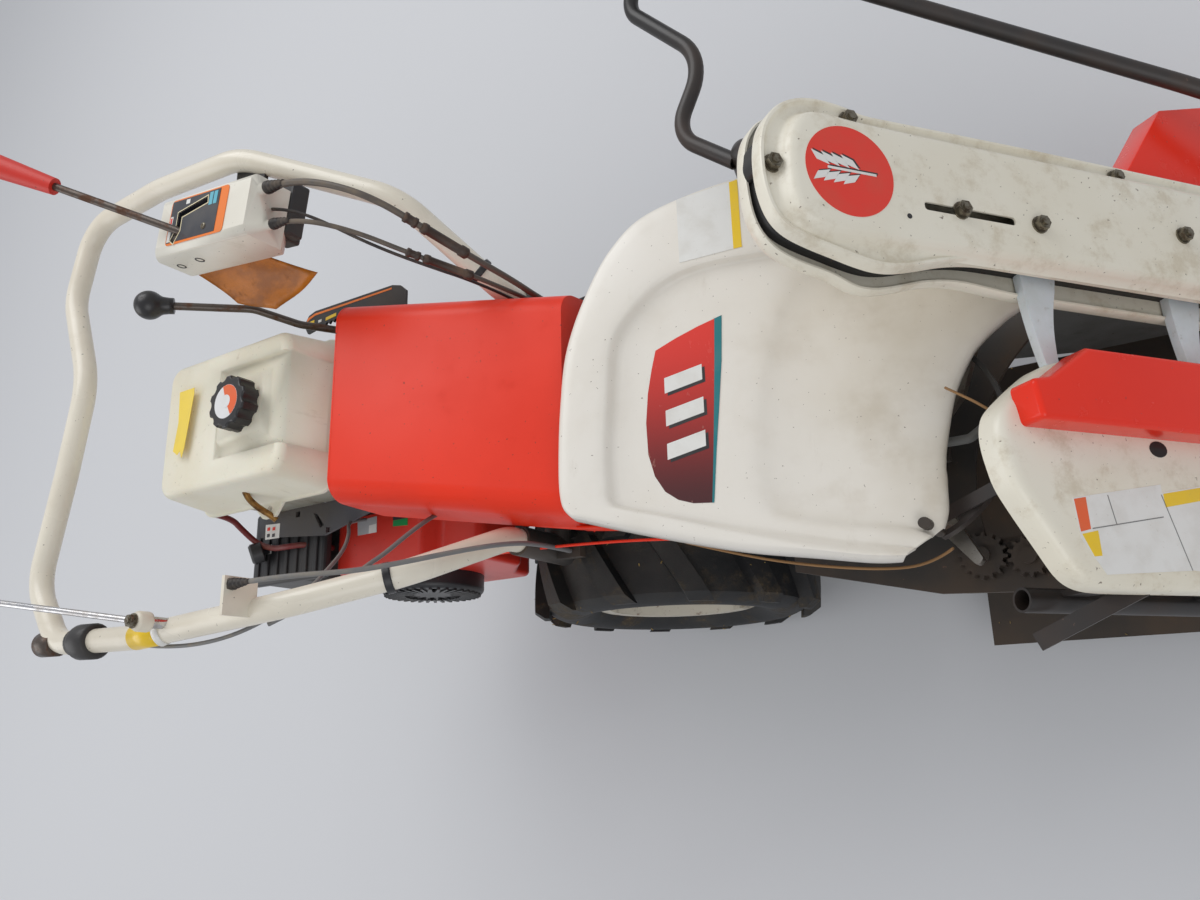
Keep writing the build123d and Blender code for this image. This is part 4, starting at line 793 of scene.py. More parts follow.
# outer edge, lip of the sunk middle, second dip and throat, forward and left in millimetres
COVER_STATIONS = [
    ((417, -292), (421, -287), (437, -275), (459, -259)),
    ((390, -291), (388, -284), (402, -262), (463, -248)),
    ((340, -283), (338, -274), (352, -252), (465, -238)),
    ((267, -271), (262, -253), (300, -235), (466, -222)),
    ((180, -249), (190, -231), (290, -215), (467, -208)),
    ((112, -229), (150, -220), (289, -200), (467, -198)),
    ((92, -221), (138, -214), (288, -191), (468, -190)),
    ((83, -200), (134, -200), (288, -180), (469, -182)),
    ((82, -150), (133, -150), (290, -145), (475, -155)),
    ((85, -90), (137, -96), (295, -100), (486, -116)),
    ((92, -31), (143, -31), (308, -45), (505, -78)),
    ((112, 30), (163, 5), (318, -14), (520, -60)),
    ((145, 92), (200, 40), (334, 15), (530, -51)),
    ((193, 133), (248, 55), (352, 36), (543, -40)),
    ((298, 160), (320, 58), (380, 46), (551, -35)),
    ((370, 150), (390, 54), (430, 40), (555, -32)),
    ((440, 100), (455, 44), (480, 24), (557, -31)),
    ((539, 20), (541, 8), (547, -8), (559, -29)),
]
outer, lip, dip, throat = (
    eased_line([Vector(station[line]).to_3d() for station in COVER_STATIONS], 8) for line in range(4)
)
# line it starts from, line it heads for, how far or what share of the way, height over the plane
COVER_BANDS = [
    (outer, lip, 0, -30), (outer, lip, 0, -12), (outer, lip, 1, -6), (outer, lip, 4, -1.8),
    (outer, lip, 9, 0), (lip, outer, 4, 0), (lip, dip, 0, -1), (lip, dip, 4, -4.5), (lip, dip, 9, -9.5),
    (lip, dip, 15, -12),
    (dip, lip, 18, -12), (dip, lip, 4, -12.8), (dip, throat, 6, -15.5), (dip, throat, 18, -20),
    (dip, throat, 0.35, -25), (dip, throat, 0.6, -26.5), (throat, dip, 16, -25.5), (throat, dip, 6, -26.5),
    (throat, dip, 1.5, -29), (throat, dip, 0, -33), (throat, dip, 0, -44),
]
cover_rows = []
for start, goal, way, height in COVER_BANDS:
    row = []
    for here, there in zip(start, goal):
        reach = (there - here).length
        share = way if way < 1 else min(way / reach, 0.46)
        spot = here.lerp(there, share)
        row.append(on_cover(spot.x, spot.y, height))
    cover_rows.append(row)

cover_white = Finish("white_cover_moulding", coat_weight=0.2, coat_roughness=0.2)
aged_and_shaded_white = cover_white.noise(0.2, 4).rise(0.35, 0.75)
cloud_and_shade = cover_white.noise(0.07, 4, 0.6).rise(0.45, 0.75)
smear = cover_white.noise(0.03, 5, 0.7, (1, 0.3, 1)).rise(0.6, 0.85)
dot = cover_white.noise(0.0032, 2, 0.4).rise(0.745, 0.78)
# The beige blotches are partly real ageing and partly painted shade, stronger towards the front where the
# dish sinks to the throat.
painted_bowl_shade = cover_white.along("X").rise(-0.02, 0.2)
cover_shade = cover_white.mix(aged_and_shaded_white * (0.18 + 0.3 * painted_bowl_shade), display(232, 227, 217),
                              display(196, 184, 160))
cover_shade = cover_white.mix(cloud_and_shade * (0.1 + 0.22 * painted_bowl_shade), cover_shade, display(168, 150, 118))
cover_shade = cover_white.mix(smear * 0.22, cover_shade, display(150, 132, 104))
cover_white.colour(cover_white.mix(dot * 0.75, cover_shade, display(92, 70, 50)))
cover_white.roughness(0.3 + 0.16 * cloud_and_shade + 0.2 * smear)
cover_white.bump(cover_white.noise(0.003, 2) + 2 * cover_white.noise(0.06, 2), 0.00008)

formed("knotter_cover_moulding", cover_rows, False, cover_white.material, "knotter_cover",
       0.0022, 1)

# Stickers on the cover
# A glossy panel that fades from red to maroon with a teal edge, scuffed at its right, and a white
# plate with a yellow strip. Three slanted bars stand in for the panel's print.
decal_film = Finish("red_to_maroon_film", coat_weight=0.5, coat_roughness=0.1)
fade = decal_film.along("Y").rise(-0.055, -0.27)
scratch = decal_film.noise(0.012, 5, 0.7, (1, 0.35, 1)).rise(0.62, 0.68)
decal_shade = decal_film.mix(fade, display(226, 50, 36), display(70, 20, 22))
decal_film.colour(decal_film.mix(scratch * 0.5 * fade, decal_shade, display(170, 120, 104)))
decal_film.roughness(0.22 + 0.3 * scratch)
decal_film.bump(decal_film.noise(0.004, 2), 0.00003)


def film(name, colour, dust, gloss=0.3):
    """Printed plastic film or a painted plate: one colour, slightly dusty."""
    haze = ((0.03, 4), (0.4, 0.75), 0.25, dust, 0.2)
    rub = ((0.004, 4, 0.7), (0.64, 0.72), 0.4, dust, 0)
    return layered(name, colour, [haze, rub], gloss, (0.005, 2), 0.00003, coat_weight=0.3)


teal_film = film("teal_film", (10, 118, 124), (90, 130, 128))
plate_white = film("bare_white_label", (228, 227, 222), (180, 172, 156))
plate_yellow = film("yellow_label_strip", (240, 200, 20), (200, 170, 90))
plate_orange = film("orange_label_strip", (232, 96, 40), (190, 120, 80))
print_and_hole_shade_black = film("black_print_and_hole_shade", (30, 28, 30), (90, 80, 74), 0.4)
DECAL = [(190, -40), (212, -28), (236, -17), (262, -7), (259, -60), (254, -110), (248, -165), (243, -219),
         (222, -218), (207, -213), (194, -203), (184, -185), (178, -160), (177, -124), (180, -90),
         (185, -62)]
DECAL_EDGE = [(254, -10), (262, -7), (259, -60), (254, -110), (248, -165), (243, -219), (241, -219),
              (245, -165), (248.5, -110), (251.5, -60)]


STICKER_SUNK = 0.3


def motif(name, outlines, height, material, spot=on_cover, thick=0.35):
    """Stickers of one print as one piece, a little over a plane, in the plane's own millimetres."""
    points, faces = [], []
    for places in outlines:
        first, count = len(points), len(places)
        points += [spot(a, b, height + thick) for a, b in places]
        points += [spot(a, b, height - STICKER_SUNK) for a, b in places]
        faces.append(tuple(range(first, first + count)))
        faces.append(tuple(reversed(range(first + count, first + 2 * count))))
        for index in range(count):
            after = (index + 1) % count
            faces.append((first + index, first + count + index, first + count + after, first + after))
    made = mesh_piece(name, points, faces, False)
    made.data.materials.append(material)
    faced_outwards(made.data)
    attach(made, "chassis")
    return made


def stuck(name, places, height, material, spot=on_cover, thick=0.35):
    """One sticker with a plain outline."""
    return motif(name, [places], height, material, spot, thick)


stuck("cover_decal", DECAL, -12, decal_film.material)
stuck("cover_decal_edge", DECAL_EDGE, -11.8, teal_film)
stuck("cover_plate", [(222, 58), (222, 138), (280, 150), (280, 66)], 0, plate_white)
stuck("cover_plate_strip", [(280, 66), (280, 150), (289, 152), (289, 67)], 0, plate_yellow)
SLANTS = [[(198, base), (238, base + 12), (238, base + 30), (198, base + 18)] for base in (-168, -130, -92)]
motif("cover_decal_shadow", [[(a + 3, b - 3) for a, b in slant] for slant in SLANTS], -11.85, print_and_hole_shade_black)
motif("cover_decal_slants", SLANTS, -11.7, plate_white)

# Raising case
# The steep case that lifts the crop: a pressed front cover with a raised middle and a beaded
# flange, a shallow rear pan, and a black rubber strip between them. The lug chain runs inside.
SLOPE_ANGLE = math.radians(53)
SLOPE_START = (710, 0, 360)


def on_slope(down, left, out=0):
    """A place given down the crop slope, to the left and out of it."""
    return at(
        SLOPE_START[0] + down * math.cos(SLOPE_ANGLE) + out * math.sin(SLOPE_ANGLE),
        left,
        SLOPE_START[2] - down * math.sin(SLOPE_ANGLE) + out * math.cos(SLOPE_ANGLE),
    )


def rounded_outline(points, most=14, step=4):
    """A closed outline with its corners eased over a length, as evenly spaced points."""
    soft = []
    count = len(points)
    for index in range(count):
        before, here, after = (Vector(points[(index + shift) % count]) for shift in (-1, 0, 1))
        back = min(most, (before - here).length / 2)
        ahead = min(most, (after - here).length / 2)
        first = here.lerp(before, back / (before - here).length)
        last = here.lerp(after, ahead / (after - here).length)
        for share in (0, 0.2, 0.4, 0.6, 0.8, 1):
            soft.append(first.lerp(here, share).lerp(here.lerp(last, share), share))
    even = []
    for index in range(len(soft)):
        here, after = soft[index], soft[(index + 1) % len(soft)]
        pieces = max(1, round((after - here).length / step)) if (after - here).length > 0.5 else 0
        even += [here.lerp(after, part / pieces) for part in range(pieces)]
    return even


def grown(outline, by):
    """An outline moved outwards by a distance, or inwards where it is negative."""
    moved = []
    count = len(outline)
    area = sum(a.x * b.y - b.x * a.y for a, b in zip(outline, outline[1:] + outline[:1]))
    sign = 1 if area > 0 else -1
    for index in range(count):
        way = (outline[(index + 1) % count] - outline[index - 1]).normalized()
        moved.append(outline[index] + Vector((way.y, -way.x)) * (by * sign))
    return moved


CASE_FOOT = 266
FLANGE = [(CASE_FOOT, 96), (-208, 96), (-300, 95), (-384, 94), (-398, 99), (-426, 102), (-448, 100),
          (-467, 91), (-481, 77), (-490, 60), (-494, 38), (-494, 14), (-491, -6), (-484, -25), (-471, -38),
          (-449, -46), (-424, -52), (-400, -58), (-379, -61), (-357, -59), (-331, -52), (-305, -44),
          (-275, -39), (-252, -38), (CASE_FOOT, -38)]
RAISED = [(CASE_FOOT - 14, 77), (-300, 77), (-395, 78), (-437, 81), (-451, 77), (-462, 67), (-468, 51),
          (-471, 33), (-472, 10), (-470, -14), (-463, -27), (-448, -34), (-429, -37), (-328, -36),
          (CASE_FOOT - 14, -33)]
PAN = [(CASE_FOOT + 2, 104), (-300, 104), (-420, 104), (-452, 101), (-472, 92), (-484, 78), (-491, 60),
       (-493, 40), (-492, 16), (-489, -8), (-482, -26), (-468, -42), (-445, -51), (-409, -58), (-388, -68),
       (-369, -69), (-350, -65), (-330, -59), (-312, -53), (-285, -48), (-262, -47), (-228, -50),
       (-200, -52), (CASE_FOOT + 2, -52)]
flange = rounded_outline(FLANGE)
raised = rounded_outline(RAISED)
pan = rounded_outline(PAN)
# how far in from the flange's edge, height over the slope
FLANGE_BANDS = [(0, -26), (0, -14), (-1.5, -11.4), (-4, -11.2), (-6.5, -14), (-8, -15)]
# how far in from the raised middle's edge
RAISED_BANDS = [(7, -15), (4.5, -13.5), (1.5, -8), (-1, -3), (-4, -0.8), (-9, 0)]


def ring_on(outline, by, height):
    """An outline moved in or out and set at a height over the slope."""
    return [on_slope(point.x, point.y, height) for point in grown(outline, by)]


def between(work, first, second):
    """Bridges two closed rows of points in a mesh."""
    edges = []
    for row in (first, second):
        verts = [work.verts.new(point) for point in row]
        edges += [work.edges.new((verts[index - 1], verts[index])) for index in range(len(verts))]
    bmesh.ops.bridge_loops(work, edges=edges)


def oblong(first, last, right, left):
    """The four corners of a flat rectangle."""
    return [(first, right), (first, left), (last, left), (last, right)]


def holed(piece, cutter):
    """Cuts a piece by another, which gives the cut its material and is then thrown away."""
    cut = piece.modifiers.new("hole", "BOOLEAN")
    cut.object = cutter
    cut.solver = "EXACT"
    cut.material_mode = "TRANSFER"
    baked(piece)
    bpy.data.objects.remove(cutter)


case_white = layered("mottled_case_enamel", (232, 227, 211), [
    ((0.2, 3), (0.35, 0.7), 0.3, (210, 197, 166), 0),
    ((0.04, 6, 0.7), (0.47, 0.7), 0.4, (172, 152, 116), 0.22),
    ((0.0045, 3, 0.45), (0.70, 0.75), 0.75, (84, 66, 50), 0.2),
], 0.32, (0.006, 2), 0.00005, 0.5, coat_weight=0.12, coat_roughness=0.25)
flange_rows = [ring_on(flange, by, high) for by, high in FLANGE_BANDS]
front = banded("case_front_pressing", flange_rows, True, case_white)
work = bmesh.new()
work.from_mesh(front.data)
between(work, ring_on(flange, *FLANGE_BANDS[-1]), ring_on(raised, *RAISED_BANDS[0]))
rows = [[work.verts.new(point) for point in ring_on(raised, by, high)] for by, high in RAISED_BANDS]
for low_row, high_row in zip(rows, rows[1:]):
    for index in range(len(low_row)):
        work.faces.new((low_row[index - 1], low_row[index], high_row[index], high_row[index - 1]))
work.faces.new(rows[-1])
bmesh.ops.remove_doubles(work, verts=work.verts, dist=0.00005)
bmesh.ops.recalc_face_normals(work, faces=work.faces)
bmesh.ops.triangulate(work, faces=[face for face in work.faces if len(face.verts) > 4])
work.to_mesh(front.data)
work.free()
front.data.polygons.foreach_set("use_smooth", [True] * len(front.data.polygons))
SHEET = 0.002
settled(front, SHEET)
slot_line = rounded_outline(oblong(-335, -233, 5.2, -3.2), 4, 2)
slot_rows = [ring_on(slot_line, 0, high) for high in (-8, 8)]
holed(front, settled(banded("slot_cutter", slot_rows, True, case_white, True, True)))
front.data.set_sharp_from_angle(angle=math.radians(38))
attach(front, "chassis")
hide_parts("case_front")

# how far in from the pan's edge, height over the slope
PAN_BANDS = [(-1, -58), (0, -56), (0, -45), (-1.2, -43.2), (-3.2, -43.2), (-4.6, -46), (-6, -47)]
STRIP_BANDS = [(-12, -16), (-11, -28), (-8, -38), (-7, -46.5)]
BOTH_ENDS = (True, True)
formed("case_rear_pan", [ring_on(pan, by, high) for by, high in PAN_BANDS], True, case_white,
       "case_rear", caps=BOTH_ENDS, crease=50)
channel = formed("case_channel", [ring_on(pan, -42, high) for high in (-98, -56)], True, case_white,
                 caps=BOTH_ENDS)
channel.data.polygons.foreach_set("use_smooth", [False] * len(channel.data.polygons))
strip_rubber = enamel("black_rubber_strip", (24, 23, 23), (70, 62, 52), 0.35, 0.6)
formed("case_rubber_strip", [ring_on(flange, by, high) for by, high in STRIP_BANDS], True, strip_rubber,
       wall=SHEET)
pad_line = rounded_outline([(-484, 58), (-491, 52), (-493, 34), (-491, 22), (-484, 20)], 4, 2)
formed("case_head_pad", [ring_on(pad_line, 0, high) for high in (-45, -24, -22)], True, strip_rubber,
       caps=BOTH_ENDS)

# Case fittings
# A round red sticker with an ear of grain in place of its print, a black disc as painted shade in
# a pin's hole in the case's front, and the bolts that hold the front.
SLOPE_OUT = (on_slope(0, 0, 1) - on_slope(0, 0)).normalized()
sticker_red = film("red_sticker_film", (228, 48, 28), (196, 90, 70), 0.4)


def oval(middle, reach, steps, start=0, end=360):
    """Points round an oval, or round a part of it with its middle as the last point."""
    partly = end - start < 360
    turns = [math.radians(start + (end - start) * step / steps) for step in range(steps + partly)]
    arc = [(middle[0] + reach[0] * math.cos(turn), middle[1] + reach[1] * math.sin(turn)) for turn in turns]
    return arc + [middle] * partly


def grain_ear(down, left, length, shift=0.0):
    """Outlines of an ear of grain: a stalk and paired husks."""
    ear = [[(down - length, left - 1.2), (down - length, left + 1.2), (down + length, left + 1.2),
            (down + length, left - 1.2)]]
    for pair in range(4):
        root = down + length * (0.3 - 0.4 * pair)
        for side in (-1, 1):
            husk = [(0, 2.5), (-6, 11), (-18, 15), (-13, 6)]
            ear.append([(root + along, left + side * aside) for along, aside in husk])
    return [[(a + shift, b + shift) for a, b in husk] for husk in ear]


stuck("case_sticker", oval((-411, 22), (45, 45), 72), 0, sticker_red, on_slope)
motif("case_sticker_shadow", grain_ear(-409, 22, 25, 1.6), 0.15, print_and_hole_shade_black, on_slope)
motif("case_sticker_ear", grain_ear(-409, 22, 25), 0.3, plate_white, on_slope)
# The black disc is painted shade inside the pin's hole.
stuck("case_pin_hole_shade", oval((-353, -13), (2.6, 2.6), 12), 0, print_and_hole_shade_black, on_slope)
FLANGE_HEIGHT = -14.4
bolts("case_bolts", [
    (on_slope(*place), SLOPE_OUT) for place in [
        (-295, 2, 0), (-205, 2, 0), (-481, 25, FLANGE_HEIGHT), (-398, 86, FLANGE_HEIGHT),
        (-81, 83, FLANGE_HEIGHT), (150, 86, FLANGE_HEIGHT), (150, 20, 0), (-20, 20, 0),
    ]
], 0.013, 0.008)

# Right cover and guards
# A white pressed cover with a rolled edge shields the star wheel, under a red guard that hides
# its hinge side. A second red guard is on the far side of the case. Labels carry only plain rules.
COVER_PLATE = [(228, -118), (-170, -118), (-196, -127), (-222, -146), (-245, -165), (-257, -177),
               (-262, -192), (-262, -210), (-254, -244), (-236, -272), (-217, -299), (-200, -324),
               (-187, -333), (-171, -337), (-150, -338), (228, -335)]
plate_line = rounded_outline(COVER_PLATE, 12)
plate_bands = [(0, -55), (0, -37), (-1.4, -32.5), (-4.5, -29.4), (-9, -28), (-14, -27.6)]
plate_rows = [ring_on(plate_line, by, high) for by, high in plate_bands]
formed("right_cover_pressing", plate_rows, True, case_white, "right_cover", SHEET,
       caps=(False, True), crease=50)

guard_red = layered("guard_red_enamel", (238, 46, 20), [
    ((0.12, 3), (0.35, 0.7), 0.25, (214, 34, 18), 0),
    ((0.03, 5, 0.65), (0.6, 0.8), 0.2, (200, 90, 70), 0.2),
    ((0.005, 3, 0.5), (0.72, 0.76), 0.6, (84, 30, 24), 0.2),
], 0.26, (0.004, 2), 0.00004, coat_weight=0.2, coat_roughness=0.2, specular_ior_level=0.3)
for node in ("right_guard", "left_guard"):
    softened(node, node + "_pressing", 0.006, 20, 4, 0.012, guard_red)
dress(guard_red, "left_divider", "right_divider")

PANEL_HEIGHT = -27.6
label_grey = film("grey_label_rule", (120, 120, 118), (160, 156, 146))
hole_shade_black = film("painted_hole_shade", (16, 14, 13), (60, 48, 38), 0.8)
RIGHT_LABEL = [(-191, -256), (-82, -237), (-82, -245), (22, -226), (10, -322), (-60, -318), (-166, -325),
               (-189, -293)]
RULES = [
    [(-150, -251), (-149, -251), (-144, -279), (-145, -279)],
    [(-174, -283), (-86, -268), (-86, -269), (-174, -284)],
    [(-84, -247), (-83, -247), (-62, -318), (-63, -318)],
]
rule_rows = [(f"right_label_rule_{index}", rule) for index, rule in enumerate(RULES)]
# name, outline, height over the panel, film and slot
for name, places, over, tint, slot in [
    ("right_label", RIGHT_LABEL, 0, plate_white, "cover_white"),
    ("right_label_orange", [(-190, -257), (-176, -254.5), (-176, -284), (-188, -287)], 0.2, plate_orange,
     "guard_red"),
    ("right_label_yellow", [(-81, -246), (21, -227.5), (20, -240), (-81, -259)], 0.2, plate_yellow,
     "cover_white"),
    ("right_label_yellow_small", [(-187, -289), (-168, -285), (-168, -308), (-177, -309)], 0.2,
     plate_yellow,
     "cover_white"),
    *((name, rule, 0.2, label_grey, "black_plastic") for name, rule in rule_rows),
    # The black oval is painted shade inside a hole in the cover.
    ("right_cover_hole_shade", oval((-76, -202), (11, 8), 18), 0.1, hole_shade_black, "black_plastic"),
]:
    stuck(name, places, PANEL_HEIGHT + over, tint, on_slope)
bolts("right_cover_bolts", [
    (on_slope(down, left, PANEL_HEIGHT), SLOPE_OUT) for down, left in [(60, -225), (190, -310), (190, -225)]
], 0.010, 0.006)

# Crop lifting parts
# Bluish nylon lugs on a roller chain lift the crop, and a nylon star wheel passes it on.
nylon = layered("bluish_nylon", (212, 219, 222), [
    ((0.04, 4), (0.35, 0.75), 0.4, (176, 180, 172), 0),
    ((0.01, 5, 0.7), (0.58, 0.75), 0.35, (120, 104, 80), 0.25),
], 0.34, (0.004, 3), 0.00008, subsurface_weight=0.05, coat_weight=0.1)
dress(nylon, "star_wheel")
softened("raising_lugs", "lug_mouldings", 0.0028, 35, 3, 0.006, nylon)

# Handlebar and its controls
# A bent ivory tube carries a white control box with a gate panel, the throttle's clamp and a
# chrome side lever on its post. Plain marks stand in for the panel's print.
ivory = enamel("ivory_tube_enamel", (229, 222, 205), (168, 150, 120), 0.24, 0.24, 0.04)
dress(ivory, "handlebar")
box_white = enamel("white_box_plastic", (230, 226, 213), (172, 158, 130), 0.2, 0.34)
box_skin = softened("control_box", "control_box_moulding", 0.006, 40, 4, 0.02, box_white)
BOX_TURN = math.radians(-8)


def on_box(forward, left, out=0):
    """A place over the control box's lid, in the box's own directions."""
    return at(-314 + forward * math.cos(BOX_TURN) - left * math.sin(BOX_TURN),
              180 + forward * math.sin(BOX_TURN) + left * math.cos(BOX_TURN), 821 + out)


def stroked(path, half):
    """The outline of a bent line of some width, its ends square."""
    sides = ([], [])
    for index, (forward, left) in enumerate(path):
        ways = []
        if index:
            ways.append(Vector((forward - path[index - 1][0], left - path[index - 1][1])).normalized())
        if index < len(path) - 1:
            ways.append(Vector((path[index + 1][0] - forward, path[index + 1][1] - left)).normalized())
        way = sum(ways, Vector((0, 0))).normalized()
        reach = half / max(way.dot(ways[0]), 0.3)
        end = (len(ways) == 1) * (half if index else -half)
        for side, turn in zip(sides, (1, -1)):
            side.append((forward - way.y * reach * turn + way.x * end,
                         left + way.x * reach * turn + way.y * end))
    return sides[0] + sides[1][::-1]


GATE_PATH = [(14, 18), (-37, 8), (-36, -13), (-43, -24)]
panel_and_slot_shade_black = film("gate_panel_and_slot_shade_black", (38, 40, 48), (110, 104, 96), 0.36)
panel_orange = film("panel_orange", (238, 120, 18), (190, 120, 60), 0.4)
panel_teal = film("panel_teal", (86, 176, 196), (140, 180, 186))
panel_cream = film("panel_cream", (226, 214, 176), (190, 170, 130))
PLATE_LINE = rounded_outline(oblong(59, -60, 31, -31), 6)
lid_layers = [
    stuck("gate_plate", PLATE_LINE, 0.5, panel_orange, on_box),
    stuck("gate_panel", oblong(43, -58, 29, -28), 0.9, panel_and_slot_shade_black, on_box),
    stuck("gate_rim", stroked(GATE_PATH, 6), 1.1, panel_cream, on_box),
]
# The cutter's black goes on to the slot's walls and floor as painted shade inside the gate's slot.
for layer in lid_layers + [box_skin]:
    cutter = stuck("gate_cutter", stroked(GATE_PATH, 4.6), -14, panel_and_slot_shade_black, on_box, 20)
    holed(layer, cutter)
for name, sides, over, tint, slot in [
    ("gate_mark_teal", (31, 38, 10, 27), 1.2, panel_teal, "black_plastic"),
    ("gate_mark_teal_low", (22, 29, 10, 27), 1.2, panel_teal, "black_plastic"),
    ("gate_mark_white", (-28, -20, 21, 27), 1.2, plate_white, "box_white"),
    ("gate_warning_strip", (-57, -51, -27, 8), 1.2, plate_white, "box_white"),
    ("gate_warning_bar", (-55.5, -52.5, -12, 6), 1.5, sticker_red, "guard_red"),
]:
    stuck(name, oblong(*sides), over, tint, on_box)

SCREW = [(-2, 4.6), (0.4, 4.6), (1.6, 4.2), (2.3, 3), (2.5, 1.4), (1.6, 1.2)]
UP = Vector((0, 0, 1))
BOX_RIGHT = on_box(0, -1) - on_box(0, 0)


def turned_fixing(name, place, way, profile, material):
    """A screw, stud, ring or knob turned about a line, fixed to the machine."""
    made = turned_on(name, place, way, profile, material, 24)
    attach(made, "chassis")
    return made


turned_fixing("panel_screw", on_box(19, -17, 0.5), UP, SCREW, zinc)
RECESS = [(-3, 6.2), (0.5, 6.2), (0.9, 5.4), (0.3, 4.4), (-0.8, 4), (-0.9, 1)]
for index, (forward, rise) in enumerate([(-34, -34), (-80, -38)]):
    turned_fixing(f"box_recess_{index}", on_box(forward, -39, rise), BOX_RIGHT, RECESS, black_plastic)

# Levers
# The clutch and gear levers are dull, rusty steel rods, the side lever is chromed. The gear
# lever's ball knob has a tapered neck, and the clutch lever a ribbed red grip.
rod_steel = layered("worn_rod_steel", (92, 84, 78), [
    ((0.02, 5, 0.7), (0.45, 0.65), 0.8, (96, 62, 40), 0.35),
    ((0.003, 3, 0.6), (0.6, 0.72), 0.6, (60, 40, 30), 0),
], 0.34, (0.002, 3), 0.0001, metallic=0.7)
dress(rod_steel, "clutch_lever", "shift_lever")
chrome = layered("dusty_chrome", (206, 206, 208), [
    ((0.02, 4), (0.4, 0.7), 0.5, (140, 126, 108), 0.3),
], 0.14, metallic=1.0)
dress(chrome, "side_lever")
grip_red = enamel("red_grip_rubber", (206, 40, 24), (130, 40, 28), 0.2, 0.5)
dress(grip_red, "clutch_grip")
knob_black = enamel("gloss_black_knob", (22, 22, 26), (80, 74, 68), 0.2, 0.28)
KNOB_TIP = at(-507, 141, 743)
KNOB_WAY = (KNOB_TIP - at(-423, 146, 652)).normalized()
BALL_MIDDLE, BALL_RADIUS = 14, 20.4
KNOB = [(-18.5, 7), (-18.3, 11.4), (-12, 11.6), (-4.5, 12.6), (-2, 13.6)]
KNOB += [(BALL_MIDDLE + BALL_RADIUS * math.sin(math.radians(lift)),
          BALL_RADIUS * math.cos(math.radians(lift)))
         for lift in range(-40, 90, 10)]
turned_fixing("shift_knob", KNOB_TIP, KNOB_WAY, KNOB, knob_black)
SIDE_POST = (-372, -314)
side_foot, side_tip = at(*SIDE_POST, 799), at(-584, -279, 862)
turned_fixing("side_lever_end", side_tip, side_tip - side_foot,
              [(-2, 4.3), (0, 5), (3, 5.6), (8, 5.6), (10, 4)],
              chrome)
turned_fixing("side_lever_hub", at(*SIDE_POST, 791), UP,
              [(0, 8), (1, 11.4), (3, 12), (15, 12), (18, 10.4), (20, 6)],
              ivory)
bolts("side_lever_nut", [(at(*SIDE_POST, 811), UP)], 0.013, 0.007)

# Ties, clamps and worn sleeves
# Ribbed nylon ties, the throttle's clamp, the bare worn end of the tube and its stickers.


def tube_ring(name, place, way, profile, material):
    """A ring round the handlebar's tube."""
    turned_fixing(name, at(*place), at(*way) - at(*place), profile, material)


TIE_RIBS = [(0.8 + step, 17.4 + 0.8 * (step % 2)) for step in range(8)]
RIBBED_TIE = [(0, 15), (0, 17.4), *TIE_RIBS, (9.4, 15)]
tube_ring("left_tie", (-62, 127, 571), (-73, 142, 591), RIBBED_TIE, black_plastic)
tube_ring("right_tie", (-94, -278, 680), (-108, -282, 690), RIBBED_TIE, black_plastic)
tube_ring("worn_sleeve", (-598, -322, 775), (-640, -321, 776),
          [(0, 15), (0.3, 16.2), (24, 16.2), (34, 16.2), (35, 15)], rod_steel)
CLAMP = [(-3, 15), (-3, 20), (-1, 22.5), (26, 22.5), (30, 21), (31, 17.5), (40, 17.5), (41, 15)]
tube_ring("throttle_clamp", (-520, -324, 770), (-560, -323, 773), CLAMP, black_plastic)
for index, (rear, front, tint) in enumerate([(-436, -392, plate_yellow), (-392, -384, plate_white)]):
    tube_ring(f"tube_sticker_{index}", (front, -322, 763.4), (rear, -325, 766.2),
              [(0, 15.05), (0.1, 15.4), (front - rear, 15.4), (front - rear + 0.1, 15.05)], tint)

gate_black = enamel("gate_plate_black", (34, 34, 36), (90, 78, 62), 0.35, 0.36, 0.05)
dress(gate_black, "control_bracket")


def block_piece(name, low, high, material, rounding=0.002, turn=0):
    """A block with rounded edges between two corners, turned about its own upright middle."""
    work = bmesh.new()
    middle, size = (at(*low) + at(*high)) / 2, at(*high) - at(*low)
    turned = Matrix.Rotation(math.radians(turn), 4, "Z")
    shape = Matrix.Translation(middle) @ turned @ Matrix.Diagonal((*size, 1))
    bmesh.ops.create_cube(work, size=1, matrix=shape)
    bmesh.ops.bevel(work, geom=work.edges[:], offset=rounding, offset_type="OFFSET", segments=2,
                    profile=0.5, affect="EDGES", clamp_overlap=True)
    mesh = bpy.data.meshes.new(name)
    work.to_mesh(mesh)
    work.free()
    piece = linked(name, mesh, material)
    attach(piece, "chassis")
    return piece


for index, (rear, top) in enumerate([(-236, 764), (-250, 756)]):
    block_piece(f"switch_block_{index}", (rear, 152, top - 26), (rear + 26, 222, top), black_plastic,
                0.003, -8)
block_piece("box_bracket", (-330, 165, 738), (-226, 205, 748), black_plastic, turn=-8)
block_piece("side_tab_nut", (-237, -290, 781), (-227, -278, 794), rod_steel)

# Gear gate and amber flap
# The gear lever passes a notched black plate with an orange rule. A stiff amber flap hangs under
# the control box.


def level(height):
    """Places on a level plane at a height."""
    return lambda forward, left, out=0: at(forward, left, height + out)


